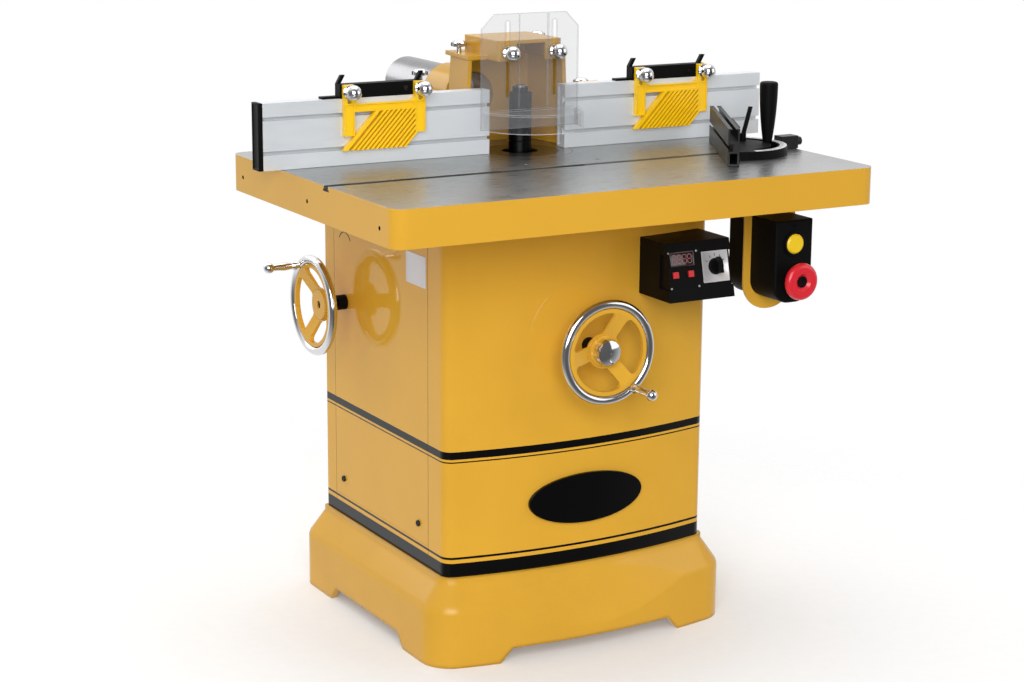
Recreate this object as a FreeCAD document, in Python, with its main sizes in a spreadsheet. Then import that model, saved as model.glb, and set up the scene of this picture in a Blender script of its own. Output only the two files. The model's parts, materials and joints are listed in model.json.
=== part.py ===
import FreeCAD, Part
import math
import operator
import os
from types import SimpleNamespace

import Sketcher
from FreeCAD import Placement, Rotation, Vector

# Floor-standing spindle moulder, in millimetres. X runs to the operator's right, Y to the back, Z up.
# The origin lies on the floor at the middle of the base.

SIZES = {
    # Table
    "table_length": 1016, "table_depth": 711, "table_top": 926.5, "table_apron": 70, "table_plate": 22,
    "table_back": 206.5, "table_corner": 27, "table_rim": 25, "table_rib": 45, "cross_rib": 40,
    "edge_hole_radius": 4, "edge_hole_depth": 18, "edge_hole_pitch": 298, "edge_hole_drop": 40,
    "slot_centre": -230.5, "slot_width": 19.05, "slot_deep": 10, "slot_under_width": 25,
    "slot_under_height": 4, "pin_hole_radius": 5, "pin_hole_out": 79, "pin_hole_behind": 48.5,
    # Spindle opening and its rings
    "spindle_across": 8, "spindle_along": -18, "opening_radius": 104, "ring_ledge": 12, "ring_thick": 9,
    "inner_ring_radius": 77, "inner_ring_hole": 36, "ring_gap": 0.3,
    # Cabinet
    "cabinet_half": 289, "cabinet_front": -267, "cabinet_back": 261, "cabinet_bow": 34.5, "cabinet_wall": 3,
    "front_corner": 24, "back_corner": 10, "top_flange": 60, "flange_thick": 4, "panel_inset_front": 67.5,
    "panel_inset_back": 50, "panel_rise": 43, "panel_drop": 10.5, "panel_gap": 0.5, "panel_ledge": 12,
    "panel_screw_rise": 36, "panel_screw_inset": 38.5, "screw_radius": 3.5,
    # Badge
    "badge_half": 125, "badge_tall": 98, "badge_rise": 129, "badge_thick": 6, "seat_gap": 0.05,
    # Base
    "base_height": 167, "base_flare": 41, "skirt_height": 110, "lip_out": 7, "lip_drop": 9,
    "shoulder_round": 25, "base_wall": 14, "base_deck": 22, "deck_window": 70, "scoop_low": 51,
    "foot_wide": 89, "foot_long_front": 96, "foot_long_back": 104, "foot_clear": 28, "foot_slant": 25,
    "anchor_inset": 19, "anchor_inset_back": 26, "anchor_radius": 6.5, "anchor_pad": 22, "anchor_thick": 16,
    "pad_sink": 1.4,
    # Quill, spindle and drive
    "fit": 0.05, "lap": 1, "quill_radius": 52, "quill_skirt": 25, "quill_drop": 19.5, "quill_clear": 3,
    "housing_radius": 64, "housing_long": 282.5, "housing_flange": 122, "flange_depth": 18,
    "bearing_radius": 40, "bearing_wide": 22, "journal_radius": 17.5, "arbor_radius": 15.875,
    "tail_radius": 15, "tail_over": 30,
    "collar_radius": 22.5, "collar_sink": 26.5, "collar_tall": 23.6, "collar_count": 6, "thread_radius": 10,
    "thread_long": 14, "nut_radius": 17.55, "nut_tall": 10, "arm_clear": 4, "lift_down": 70, "arm_tall": 36,
    "arm_half": 14, "window_half": 17, "window_sill": 24, "lift_up": 12, "cage_clear": 4, "cage_tall": 25,
    "sleeve_radius": 30, "leg_wide": 24, "pulley_drop": 152, "step_tall": 28,
    "spindle_step": 38, "spindle_step_big": 45, "motor_step": 85, "motor_step_small": 78, "belt_thick": 5,
    "belt_wide": 22, "belt_gap": 0.3,
    # Spindle height adjustment
    "wheel_across": 0, "gear_clear": 3, "screw_reach": 132, "screw_radius_lift": 10, "gear_big": 24,
    "gear_small": 14, "gear_tip": 1.083, "gear_root": 0.875, "gear_teeth": 12, "tooth_tip": 0.11,
    "tooth_root": 0.24, "arm_lap": 8,
    "arm_thick": 18, "arm_width": 20, "lug_reach": 55, "lug_thick": 15, "lug_drop": 25, "shaft_radius": 10,
    # Handwheels
    "rim_radius": 92, "rim_thick": 8.5, "wheel_out": 69, "web_thick": 9, "band_wide": 8, "spoke_half": 14,
    "spoke_round": 8, "spoke_count": 3, "hub_radius": 30, "hub_edge": 4, "hub_neck": 20, "hub_sink": 14,
    "hub_boss": 3, "hub_back": 42, "crank_radius": 90, "crank_boss": 6, "crank_pin": 4, "crank_start": 12,
    "crank_length": 70, "crank_ball": 11, "crank_neck": 0.62, "crank_foot": 1.35, "crank_waist": 0.95,
    "crank_swell": 1.2, "front_crank_angle": -54, "side_crank_angle": 37,
    "knob_radius": 26, "knob_deep": 23, "knob_dome": 5, "knob_flutes": 8, "flute_radius": 6,
    "bush_radius": 13, "bush_flange": 15, "bush_deep": 20, "bush_inside": 12,
    "screw_recess": 3, "side_gap": 38,
    "side_rise": 87, "tension_radius": 8, "tension_over": 8,
    # Motor and its slide
    "belt_span": 174, "motor_radius": 84, "fin_tall": 4, "fin_half": 2, "motor_foot": 10, "motor_clear": 19,
    "motor_tall": 255, "motor_shaft": 14, "shaft_clear": 7, "bell_tall": 42.5, "bell_inset_low": 25.2,
    "bell_inset_high": 12.6, "fin_inset": 51, "fin_count": 16, "foot_inset": 63.75, "foot_half": 50.4,
    "rail_radius": 8, "rail_inset": 21, "rail_drop": 15,
    "rail_pitch": 200, "plate_gap": 40, "plate_thick": 12, "plate_reach": 202, "plate_over": 58,
    "plate_edge": 30, "runner_half": 14, "runner_wide": 30, "runner_left": 60, "runner_right": 45,
    "nut_block": 32,
    # Fence
    "fence_face": -34, "board_thick": 30, "board_tall": 125, "board_lift": 0.5, "left_board_long": 474,
    "left_board_gap": 77, "right_board_gap": 92, "right_board_long": 466, "tee_mouth": 7,
    "tee_low_rise": 32, "tee_high_rise": 95.5, "tee_lip": 4, "tee_wide": 15, "tee_deep": 10,
    "board_wall": 4, "hood_left_reach": 113, "hood_right_reach": 120, "hood_taper": 17, "hood_deep": 125,
    "hood_tall": 178, "hood_wall": 8, "hood_lean": 8, "hood_round": 14, "neck_shift": 38, "neck_rise": 93,
    "neck_radius": 57, "neck_length": 87, "port_radius": 51, "port_step": 1, "port_wall": 2,
    "port_length": 206, "port_grip": 20, "wing_reach": 125, "wing_deep": 40, "wing_rise": 73,
    "wing_thick": 12, "bracket_thick": 8, "bracket_foot": 9, "stud_radius": 5, "stud_slot": 12,
    "left_stud_out": 83, "right_stud_out": 45, "left_knob_rise": 68, "right_knob_rise": 32, "lid_thick": 8,
    "lid_seam": 0.3, "cap_inset_left": 50, "cap_inset_right": 41, "cap_over": 9, "cap_inset_back": 25,
    "cap_tall": 39.7, "cap_wall": 8, "mouth_inset_left": 41, "mouth_inset_right": 38, "mouth_lip": 7,
    "lid_stud_inset_left": 32, "lid_stud_inset_back": 40, "lid_stud_inset_right": 24, "star_radius": 16,
    "star_tall": 11, "star_bevel": 4.4, "star_crown": 6.4, "star_cut": 5.6, "star_cut_out": 2.4,
    "star_lobes": 6,
    # Clear guard
    "guard_left_out": 58, "guard_right_out": 53, "guard_clear": 48.5, "guard_edge": 18, "guard_thick": 5,
    "guard_cut": 28, "guard_stud_inset": 19, "guard_raise": 70, "slot_spare": 12, "guard_lower": 45,
    "guard_slot_half": 4.5, "guard_knob_rise": 16.7, "visor_radius": 104, "visor_tall": 37,
    "visor_thick": 4, "ball_radius": 15, "ball_flange": 13, "ball_neck": 8, "ball_base": 3, "stud_fit": 4,
    # Featherboards
    "leg_left": -372, "leg_pitch": 148, "leg_half": 10.5, "leg_over": 13, "leg_drop": 45,
    "feather_thick": 11, "beam_drop": 5, "beam_tall": 15, "finger_drop": 72, "finger_out": 14,
    "finger_wide": 5.6, "finger_pitch": 9.9, "finger_lean": 68, "finger_count": 12, "finger_start": 16.8,
    "feather_knob_rise": 13, "feather_travel": 18, "feather_offset": 642, "feather_rim": 2.5,
    "feather_dish": 3, "beam_round": 12, "bar_tall": 26, "bar_deep": 22, "bar_over": 4, "tab_tall": 16,
    "tab_wide": 8, "tab_lean": 9, "tab_deep": 8, "bar_window": 9, "bar_window_in": 35, "stud_grip": 17,
    "foot_reach": 34, "foot_thick": 4,
    # Mitre gauge
    "mitre_bar_long": 488, "mitre_over": 7, "mitre_gap": 0.3, "mitre_pivot_in": 145, "mitre_turn": 28,
    "head_radius": 104, "head_thick": 16, "arc_radius": 79, "arc_half": 7.5, "arc_reach": 66,
    "mitre_stud": 6, "mitre_boss": 10, "head_front": -11, "head_flange": 14, "head_flange_half": 60,
    "head_flange_tall": 58.5, "mitre_fence_thick": 22, "mitre_fence_length": 330, "mitre_fence_shift": -15,
    "mitre_fence_tall": 71.5, "chamber_wall": 4, "grip_low": 9, "grip_mid": 18, "grip_round": 5,
    "grip_tall": 134.5, "stop_long": 40, "stop_half": 13, "stop_tall": 25, "lever_across": 22,
    "lever_along": 48, "lever_radius": 7, "lever_tall": 67, "lever_lean": 14, "lever_half": 4,
    # Controls
    "box_left": 114, "box_wide": 146, "box_tall": 109, "box_drop": 64.5, "box_out_top": 78.5,
    "box_out_low": 103.5, "set_inset": 18, "set_pitch": 34, "set_rise": 50, "set_half": 6, "set_proud": 3,
    "set_deep": 8, "selector_inset": 37, "selector_rise": 59, "selector_radius": 16, "selector_deep": 20,
    "skirt_lean": 1.6, "pointer_half": 4.8, "pointer_back": 13.6, "pointer_neck": 9.6, "pointer_tip": 17.6,
    "press_gap": 0.3, "ear_tall": 22, "ear_deep": 14, "ear_out": 4,
    # Switch
    "switch_inset": 131, "switch_half": 43, "switch_setback": 74.5, "switch_deep": 81, "switch_tall": 160,
    "switch_drop": 81.5, "bracket_half": 59, "bracket_under": 26, "bracket_plate": 4, "back_half": 54,
    "back_under": 1, "back_over": 11, "back_deep": 53, "start_drop": 45, "start_radius": 19,
    "start_proud": 6, "stop_rise": 46, "stop_radius": 36, "stop_neck": 15, "stop_out": 34, "stop_eye": 11,
    "eye_deep": 6, "stop_round": 9, "press_hole": 12, "switch_round": 5, "switch_flat": 8.6,
    "bracket_flat": 2.95, "back_flat": 10.8,
}

doc = FreeCAD.newDocument("SpindleMoulder")
sheet = doc.addObject("Spreadsheet::Sheet", "Sizes")

SIGNS = {"+": operator.add, "-": operator.sub, "*": operator.mul, "/": operator.truediv}


class Size:
    """A length together with the sheet expression that gives it."""

    def __init__(self, value, text):
        self.value = value
        self.text = text

    def joined(self, sign, other, swap=False):
        left, right = as_size(self), as_size(other)
        if swap:
            left, right = right, left
        return Size(SIGNS[sign](left.value, right.value), f"({left.text} {sign} {right.text})")

    def __add__(self, other):
        return self.joined("+", other)

    def __radd__(self, other):
        return self.joined("+", other, swap=True)

    def __sub__(self, other):
        return self.joined("-", other)

    def __rsub__(self, other):
        return self.joined("-", other, swap=True)

    def __mul__(self, other):
        return self.joined("*", other)

    def __rmul__(self, other):
        return self.joined("*", other, swap=True)

    def __truediv__(self, other):
        return self.joined("/", other)

    def __neg__(self):
        return self.joined("*", -1)


def as_size(number):
    if isinstance(number, Size):
        return number
    return Size(float(number), repr(float(number)))


def root(size):
    return Size(math.sqrt(size.value), f"sqrt({size.text})")


def fill_sheet():
    for row, (name, value) in enumerate(SIZES.items(), start=1):
        sheet.set(f"A{row}", name)
        sheet.set(f"B{row}", str(value))
        sheet.setAlias(f"B{row}", name)
    doc.recompute()
    return SimpleNamespace(**{name: Size(float(value), f"Sizes.{name}") for name, value in SIZES.items()})


S = fill_sheet()

# Directions that a turned piece's own Z axis is laid along
UP = Rotation()
TO_FRONT = Rotation(Vector(1, 0, 0), 90)
TO_BACK = Rotation(Vector(1, 0, 0), -90)
TO_LEFT = Rotation(Vector(0, 1, 0), -90)
TO_RIGHT = Rotation(Vector(0, 1, 0), 90)

MITRE_TURN = Rotation(Vector(0, 0, 1), -S.mitre_turn.value)

nodes = []


def bind(thing, name, size):
    """Ties a property to the sheet."""
    thing.setExpression(name, as_size(size).text)


def keep(thing, label):
    """Names a finished sub-part and puts it on the list of files."""
    thing.Label = label
    nodes.append(thing)
    return thing


def place(thing, across, along, height, turn=UP):
    """Stands a piece at its place."""
    spot = [as_size(size) for size in (across, along, height)]
    thing.Placement = Placement(Vector(*[size.value for size in spot]), turn)
    for axis, size in zip("xyz", spot):
        bind(thing, f"Placement.Base.{axis}", size)
    return thing


def new_body(name):
    return doc.addObject("PartDesign::Body", name)


def plane_of(body, role):
    return next(feature for feature in body.Origin.OriginFeatures if feature.Role == role + "_Plane")


def hold(sketch, geometry, end, across, up):
    """Fixes one point of a sketch at its two distances from the sketch's origin."""
    for kind, axis, size in (("DistanceX", -2, as_size(across)), ("DistanceY", -1, as_size(up))):
        if size.text == "0.0":
            sketch.addConstraint(Sketcher.Constraint("PointOnObject", geometry, end, axis))
            continue
        index = sketch.addConstraint(Sketcher.Constraint(kind, -1, 1, geometry, end, size.value))
        sketch.setExpression(f"Constraints[{index}]", size.text)


def set_radius(sketch, geometry, radius):
    index = sketch.addConstraint(Sketcher.Constraint("Radius", geometry, radius.value))
    sketch.setExpression(f"Constraints[{index}]", radius.text)


def arc_between(start, finish, radius):
    """The short arc from start to finish; a plus radius has its centre on the left of the way."""
    chord = finish - start
    side = Vector(-chord.y, chord.x, 0).normalize()
    reach = math.sqrt(max(radius * radius - chord.Length * chord.Length / 4, 0))
    centre = (start + finish) * 0.5 + side * math.copysign(reach, radius)
    first, last = (start, finish) if radius > 0 else (finish, start)
    angles = [math.atan2(point.y - centre.y, point.x - centre.x) for point in (first, last)]
    return Part.ArcOfCircle(Part.Circle(centre, Vector(0, 0, 1), abs(radius)), *angles)


def outline(*points):
    """A closed line through points (across, up); a third value bends the way to a point to that radius."""

    def draw(sketch):
        spots = [Vector(as_size(point[0]).value, as_size(point[1]).value, 0) for point in points]
        ends = []
        for index, point in enumerate(points):
            start, finish = spots[index - 1], spots[index]
            if len(point) == 2:
                geometry = sketch.addGeometry(Part.LineSegment(start, finish), False)
                ends.append((geometry, 1, 2))
                continue
            radius = as_size(point[2])
            geometry = sketch.addGeometry(arc_between(start, finish, radius.value), False)
            ends.append((geometry, 1, 2) if radius.value > 0 else (geometry, 2, 1))
            set_radius(sketch, geometry, radius if radius.value > 0 else -radius)
        for index, (geometry, first, last) in enumerate(ends):
            after = ends[(index + 1) % len(ends)]
            sketch.addConstraint(Sketcher.Constraint("Coincident", geometry, last, after[0], after[1]))
        for point, (geometry, first, last) in zip(points, ends):
            hold(sketch, geometry, last, point[0], point[1])

    return draw


def box(left, low, right, high):
    return outline((left, low), (right, low), (right, high), (left, high))


def ring(across, up, radius):
    """A circle."""

    def draw(sketch):
        spot = Vector(as_size(across).value, as_size(up).value, 0)
        geometry = sketch.addGeometry(Part.Circle(spot, Vector(0, 0, 1), as_size(radius).value), False)
        hold(sketch, geometry, 3, across, up)
        set_radius(sketch, geometry, as_size(radius))

    return draw


def upright_slot(centre, low, high, half):
    """A slot with round ends; low and high are the middles of its ends."""
    return outline((centre + half, low, half), (centre + half, high), (centre, high + half, half),
                   (centre - half, high, half), (centre - half, low), (centre, low - half, half))


def sketch_on(body, role, offset, *loops, tilt=None):
    """A sketch on one of the body's own planes, moved along its normal, or laid out on a tilted place."""
    sketch = body.newObject("Sketcher::SketchObject", "Sketch")
    sketch.AttachmentSupport = (plane_of(body, role), [""])
    sketch.MapMode = "FlatFace"
    if tilt is None:
        bind(sketch, "AttachmentOffset.Base.z", offset)
    else:
        sketch.AttachmentOffset = tilt
    for draw in loops:
        draw(sketch)
    return sketch


def pad(body, sketch, length, back=False, middle=False):
    feature = body.newObject("PartDesign::Pad", "Pad")
    feature.Profile = sketch
    bind(feature, "Length", length)
    feature.Reversed = back
    feature.Midplane = middle
    return feature


def pocket(body, sketch, length=None, back=False):
    """Cuts to a depth, or right through both ways where no depth is given; it must take something away."""
    doc.recompute()
    before = body.Shape.Volume
    feature = body.newObject("PartDesign::Pocket", "Pocket")
    feature.Profile = sketch
    if length is None:
        feature.Type = "ThroughAll"
        feature.Midplane = True
    else:
        bind(feature, "Length", length)
        feature.Reversed = back
    doc.recompute()
    if not body.Shape.Volume < before:
        raise ValueError(f"a cut in {body.Name} takes nothing away")
    return feature


def turn(body, sketch):
    """A full turn about the sketch's upright axis."""
    feature = body.newObject("PartDesign::Revolution", "Revolution")
    feature.Profile = sketch
    feature.ReferenceAxis = (sketch, ["V_Axis"])
    feature.Angle = 360
    return feature


def round_edges(body, radius, chosen):
    """Rounds the edges of the body that the test picks."""
    doc.recompute()
    base = body.Tip
    names = [f"Edge{index}" for index, edge in enumerate(base.Shape.Edges, start=1) if chosen(edge)]
    feature = body.newObject("PartDesign::Fillet", "Fillet")
    feature.Base = (base, names)
    bind(feature, "Radius", radius)
    body.Tip = feature
    return feature


def is_upright(edge):
    start, finish = edge.Vertexes[0].Point, edge.Vertexes[-1].Point
    return abs(start.x - finish.x) + abs(start.y - finish.y) < 1e-6 and abs(start.z - finish.z) > 1e-6


def upright_at(spots):
    """Picks upright edges that stand at one of the spots."""

    def chosen(edge):
        point = edge.Vertexes[0].Point
        return is_upright(edge) and any(abs(point.x - x) + abs(point.y - y) < 0.01 for x, y in spots)

    return chosen


def on_level(height):
    """Picks edges that lie at one height."""

    def chosen(edge):
        return abs(edge.BoundBox.ZMin - height.value) + abs(edge.BoundBox.ZMax - height.value) < 0.01

    return chosen


def loft(body, first, last, kind="AdditiveLoft"):
    """Joins two sketches by straight lines; a SubtractiveLoft takes that form away."""
    feature = body.newObject("PartDesign::" + kind, kind)
    feature.Profile = first
    feature.Sections = [last]
    feature.Ruled = True
    body.Tip = feature
    return feature


def repeat_round(body, feature, count, axis="Z"):
    """Repeats a feature round one of the body's own axes."""
    pattern = body.newObject("PartDesign::PolarPattern", "PolarPattern")
    pattern.Originals = [feature]
    origin_axis = next(item for item in body.Origin.OriginFeatures if item.Role == axis + "_Axis")
    pattern.Axis = (origin_axis, [""])
    pattern.Angle = 360
    pattern.Occurrences = count
    body.Tip = pattern
    return pattern


def repeat_along(body, feature, count, pitch, axis="X"):
    """Repeats a feature along one of the body's own axes."""
    pattern = body.newObject("PartDesign::LinearPattern", "LinearPattern")
    pattern.Originals = [feature]
    origin_axis = next(item for item in body.Origin.OriginFeatures if item.Role == axis + "_Axis")
    pattern.Direction = (origin_axis, [""])
    bind(pattern, "Length", pitch * (count - 1))
    pattern.Occurrences = count
    body.Tip = pattern
    return pattern


def turned(name, *points):
    """A piece of revolution about its own Z axis, from the half section (radius, height)."""
    body = new_body(name)
    turn(body, sketch_on(body, "XZ", 0, outline(*points)))
    return body


def tube(name, inner, outer, low, high):
    return turned(name, (inner, low), (outer, low), (outer, high), (inner, high))


def prism(name, role, offset, length, *loops, back=False, middle=False):
    body = new_body(name)
    pad(body, sketch_on(body, role, offset, *loops), length, back, middle)
    return body


def group(label, pieces):
    """Several separate solids that share one file."""
    compound = doc.addObject("Part::Compound", label)
    compound.Links = pieces
    return keep(compound, label)


def copy_at(body, across, along, height, rotation=UP):
    """A copy of a finished body at a place of its own."""
    link = doc.addObject("App::Link", body.Name + "_copy")
    link.LinkedObject = body
    return place(link, across, along, height, rotation)


# Table and cabinet
TABLE_UNDER = S.table_top - S.table_apron
PLATE_UNDER = S.table_top - S.table_plate
TABLE_FRONT = S.table_back - S.table_depth
TABLE_MIDDLE = S.table_back - S.table_depth / 2
PIN_HOLE_FRONT = S.slot_centre + S.pin_hole_behind
BOW_FRONT = S.cabinet_front - S.cabinet_bow
BOW_RADIUS = (S.cabinet_half * S.cabinet_half + S.cabinet_bow * S.cabinet_bow) / (S.cabinet_bow * 2)
BOW_CENTRE = BOW_FRONT + BOW_RADIUS
PANEL_FRONT = S.cabinet_front + S.panel_inset_front
PANEL_BACK = S.cabinet_back - S.panel_inset_back
PANEL_LOW = S.base_height + S.panel_rise
PANEL_HIGH = TABLE_UNDER - S.panel_drop
SCREW_LOW = PANEL_LOW + S.panel_screw_rise
SCREW_FRONT = PANEL_FRONT + S.panel_screw_inset
SCREW_BACK = PANEL_BACK - S.panel_screw_inset
BADGE_HEIGHT = S.base_height + S.badge_rise

# Base
SCOOP_TOP = BOW_FRONT - S.lip_out
SCOOP_LOW_OUT = BOW_FRONT - S.base_flare
FOOT_GAP_FRONT = S.cabinet_half - S.foot_wide
FOOT_GAP_SIDE_FRONT = S.cabinet_front + S.foot_long_front
FOOT_GAP_SIDE_BACK = S.cabinet_back - S.foot_long_back
ANCHOR_ACROSS = S.cabinet_half - S.anchor_inset
ANCHOR_ALONG = S.cabinet_back - S.anchor_inset_back

# Quill, spindle and the gear that lifts them
HOUSING_LOW = PLATE_UNDER - S.housing_long
WINDOW_LOW = HOUSING_LOW + S.window_sill
ARM_LOW = WINDOW_LOW + S.arm_clear + S.lift_down
WINDOW_HIGH = ARM_LOW + S.arm_tall + S.lift_up + S.arm_clear
TOP_ARM_LOW = WINDOW_HIGH + S.arm_lap
QUILL_LOW = ARM_LOW - S.quill_skirt
QUILL_HIGH = PLATE_UNDER - S.quill_drop
COLLAR_COUNT = int(S.collar_count.value)
COLLAR_LOW = S.table_top - S.collar_sink
STACK_TOP = COLLAR_LOW + S.collar_tall * COLLAR_COUNT
SPINDLE_TOP = STACK_TOP + S.thread_long
WHEEL_HEIGHT = HOUSING_LOW - S.gear_big - S.gear_clear
SCREW_ALONG = S.spindle_along - S.screw_reach
LUG_FRONT = SCREW_ALONG - S.lug_reach
PULLEY_LOW = HOUSING_LOW - S.pulley_drop
PULLEY_MIDDLE = PULLEY_LOW + S.step_tall
PULLEY_HIGH = PULLEY_MIDDLE + S.step_tall
CAGE_LOW = PULLEY_HIGH + S.cage_clear
TAIL_LOW = PULLEY_LOW - S.tail_over

# Motor, its slide and the screw that tightens the belt
MOTOR_ACROSS = S.spindle_across + S.belt_span
MOTOR_LOW = PULLEY_HIGH + S.motor_clear
MOTOR_HIGH = MOTOR_LOW + S.motor_tall
FOOT_LOW = MOTOR_LOW + S.foot_inset
FOOT_HIGH = MOTOR_HIGH - S.foot_inset
RAIL_ALONG = S.cabinet_back - S.rail_inset
RAIL_LOW = MOTOR_LOW - S.rail_drop
RAIL_HIGH = RAIL_LOW + S.rail_pitch
PLATE_ALONG = RAIL_ALONG - S.plate_gap
PLATE_LEFT = MOTOR_ACROSS - S.plate_reach
PLATE_RIGHT = MOTOR_ACROSS + S.plate_over
PLATE_LOW = RAIL_LOW - S.plate_edge
PLATE_HIGH = RAIL_HIGH + S.plate_edge
TENSION_END = PLATE_LEFT + S.nut_block + S.tension_over
SIDE_HEIGHT = RAIL_LOW + S.side_rise
SIDE_ALONG = PLATE_ALONG - S.side_gap

# Handwheels
WHEEL_PLANE = BOW_FRONT - S.wheel_out
SIDE_PLANE = -S.cabinet_half - S.wheel_out
HUB_FACE = S.hub_boss - S.hub_sink

# Fence boards and hood
BOARD_BACK = S.fence_face + S.board_thick
BOARD_LOW = S.table_top + S.board_lift
BOARD_TOP = BOARD_LOW + S.board_tall
TEE_LOW = BOARD_LOW + S.tee_low_rise
TEE_HIGH = BOARD_LOW + S.tee_high_rise
LEFT_BOARD_IN = S.spindle_across - S.left_board_gap
LEFT_BOARD_OUT = LEFT_BOARD_IN - S.left_board_long
RIGHT_BOARD_IN = S.spindle_across + S.right_board_gap
RIGHT_BOARD_OUT = RIGHT_BOARD_IN + S.right_board_long
HOOD_LEFT = S.spindle_across - S.hood_left_reach
HOOD_RIGHT = S.spindle_across + S.hood_right_reach
HOOD_FRONT = BOARD_BACK + S.hood_wall / 2
HOOD_BACK = HOOD_FRONT + S.hood_deep
HOOD_TOP = BOARD_LOW + S.hood_tall
NECK_ACROSS = S.spindle_across - S.neck_shift
NECK_HEIGHT = BOARD_LOW + S.neck_rise
WING_LOW = BOARD_LOW + S.wing_rise
WING_TOP = WING_LOW + S.wing_thick
WING_FRONT = HOOD_FRONT + S.hood_wall
WING_MIDDLE = WING_FRONT + S.wing_deep / 2
LEFT_STUD = HOOD_LEFT - S.left_stud_out
RIGHT_STUD = HOOD_RIGHT + S.right_stud_out
LEFT_KNOB_HEIGHT = WING_TOP + S.left_knob_rise
RIGHT_KNOB_HEIGHT = WING_TOP + S.right_knob_rise

# Hood lid and clear guard
LID_LOW = HOOD_TOP + S.lid_seam
LID_TOP = LID_LOW + S.lid_thick
CAP_LEFT = HOOD_LEFT + S.cap_inset_left
CAP_RIGHT = HOOD_RIGHT - S.cap_inset_right
CAP_FRONT = S.fence_face - S.cap_over
CAP_BACK = HOOD_BACK - S.cap_inset_back
CAP_TOP = LID_LOW + S.cap_tall
MOUTH_LEFT = CAP_LEFT + S.mouth_inset_left
MOUTH_RIGHT = CAP_RIGHT - S.mouth_inset_right
MOUTH_TOP = CAP_TOP - S.mouth_lip
LID_STUD_LEFT = HOOD_LEFT + S.lid_stud_inset_left
LID_STUD_RIGHT = HOOD_RIGHT - S.lid_stud_inset_right
LID_STUD_ALONG = HOOD_BACK - S.lid_stud_inset_back
GUARD_KNOB = LID_LOW + S.guard_knob_rise
GUARD_SLOT_LEFT = CAP_LEFT + S.guard_stud_inset
GUARD_SLOT_RIGHT = CAP_RIGHT - S.guard_stud_inset
GUARD_SLOT_LOW = GUARD_KNOB - S.guard_raise - S.slot_spare
GUARD_SLOT_HIGH = GUARD_KNOB + S.guard_lower + S.slot_spare
GUARD_HIGH = GUARD_SLOT_HIGH + S.guard_edge
GUARD_LOW = S.table_top + S.guard_clear
GUARD_LEFT = GUARD_SLOT_LEFT - S.guard_left_out
GUARD_RIGHT = GUARD_SLOT_RIGHT + S.guard_right_out
VISOR_TOP = GUARD_LOW + S.visor_tall

# Featherboards
FEATHER_KNOB = BOARD_TOP + S.feather_knob_rise
LEG_TOP = FEATHER_KNOB + S.leg_over
FEATHER_SLOT_LOW = FEATHER_KNOB - S.feather_travel
BEAM_TOP = FEATHER_SLOT_LOW - S.beam_drop
BEAM_LOW = BEAM_TOP - S.beam_tall
LEG_LOW = BEAM_LOW - S.leg_drop
FINGER_TIP = BEAM_LOW - S.finger_drop
FINGER_FIRST = S.leg_left - S.finger_out

# Mitre gauge
MITRE_RIGHT = S.table_length / 2 + S.mitre_over
MITRE_LEFT = MITRE_RIGHT - S.mitre_bar_long
MITRE_PIVOT = MITRE_RIGHT - S.mitre_pivot_in
HEAD_FLANGE_TOP = S.table_top + S.head_flange_tall
MITRE_FENCE_TOP = S.table_top + S.mitre_fence_tall
GRIP_TOP = S.table_top + S.grip_tall

# Control box, whose face leans, and switch
BOX_RIGHT = S.box_left + S.box_wide
BOX_HIGH = TABLE_UNDER - S.box_drop
BOX_LOW = BOX_HIGH - S.box_tall
FACE_TOP = BOW_FRONT - S.box_out_top
FACE_LOW = BOW_FRONT - S.box_out_low
FACE_RUN = FACE_TOP - FACE_LOW
FACE_TURN = Rotation(Vector(1, 0, 0), math.degrees(math.atan2(S.box_tall.value, FACE_RUN.value)))
SET_ACROSS = S.box_left + S.set_inset
SET_HEIGHT = BOX_LOW + S.set_rise
SELECTOR_ACROSS = BOX_RIGHT - S.selector_inset
SELECTOR_HEIGHT = BOX_LOW + S.selector_rise
SWITCH_CENTRE = S.table_length / 2 - S.switch_inset
SWITCH_FRONT = TABLE_FRONT + S.switch_setback
SWITCH_HIGH = PLATE_UNDER - S.switch_drop
SWITCH_LOW = SWITCH_HIGH - S.switch_tall
BRACKET_LOW = SWITCH_LOW - S.bracket_under
BACK_LOW = SWITCH_LOW - S.back_under
BACK_HIGH = SWITCH_HIGH + S.back_over
START_HEIGHT = SWITCH_HIGH - S.start_drop
STOP_HEIGHT = SWITCH_LOW + S.stop_rise


def bow_at(across, radius=None):
    """How far forward the bowed front, or a line offset from it, lies at a distance from the middle."""
    radius = BOW_RADIUS if radius is None else radius
    return BOW_CENTRE - root(radius * radius - across * across)


def cabinet_plan(out):
    """The cabinet seen from above, moved outwards: flat sides and back, bowed front, round corners."""
    half, back = S.cabinet_half + out, S.cabinet_back + out
    bow = BOW_RADIUS + out
    front_round, back_round = S.front_corner + out, S.back_corner + out
    # The front corner's centre lies inside the side by its radius, and inside the bow by its radius
    across, reach = half - front_round, bow - front_round
    depth = root(reach * reach - across * across)
    corner = BOW_CENTRE - depth
    touch_across, touch = across * bow / reach, BOW_CENTRE - depth * bow / reach
    return outline((-half, corner), (-touch_across, touch, front_round), (touch_across, touch, bow),
                   (half, corner, front_round), (half, back - back_round),
                   (half - back_round, back, back_round), (back_round - half, back),
                   (-half, back - back_round, back_round))


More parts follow.
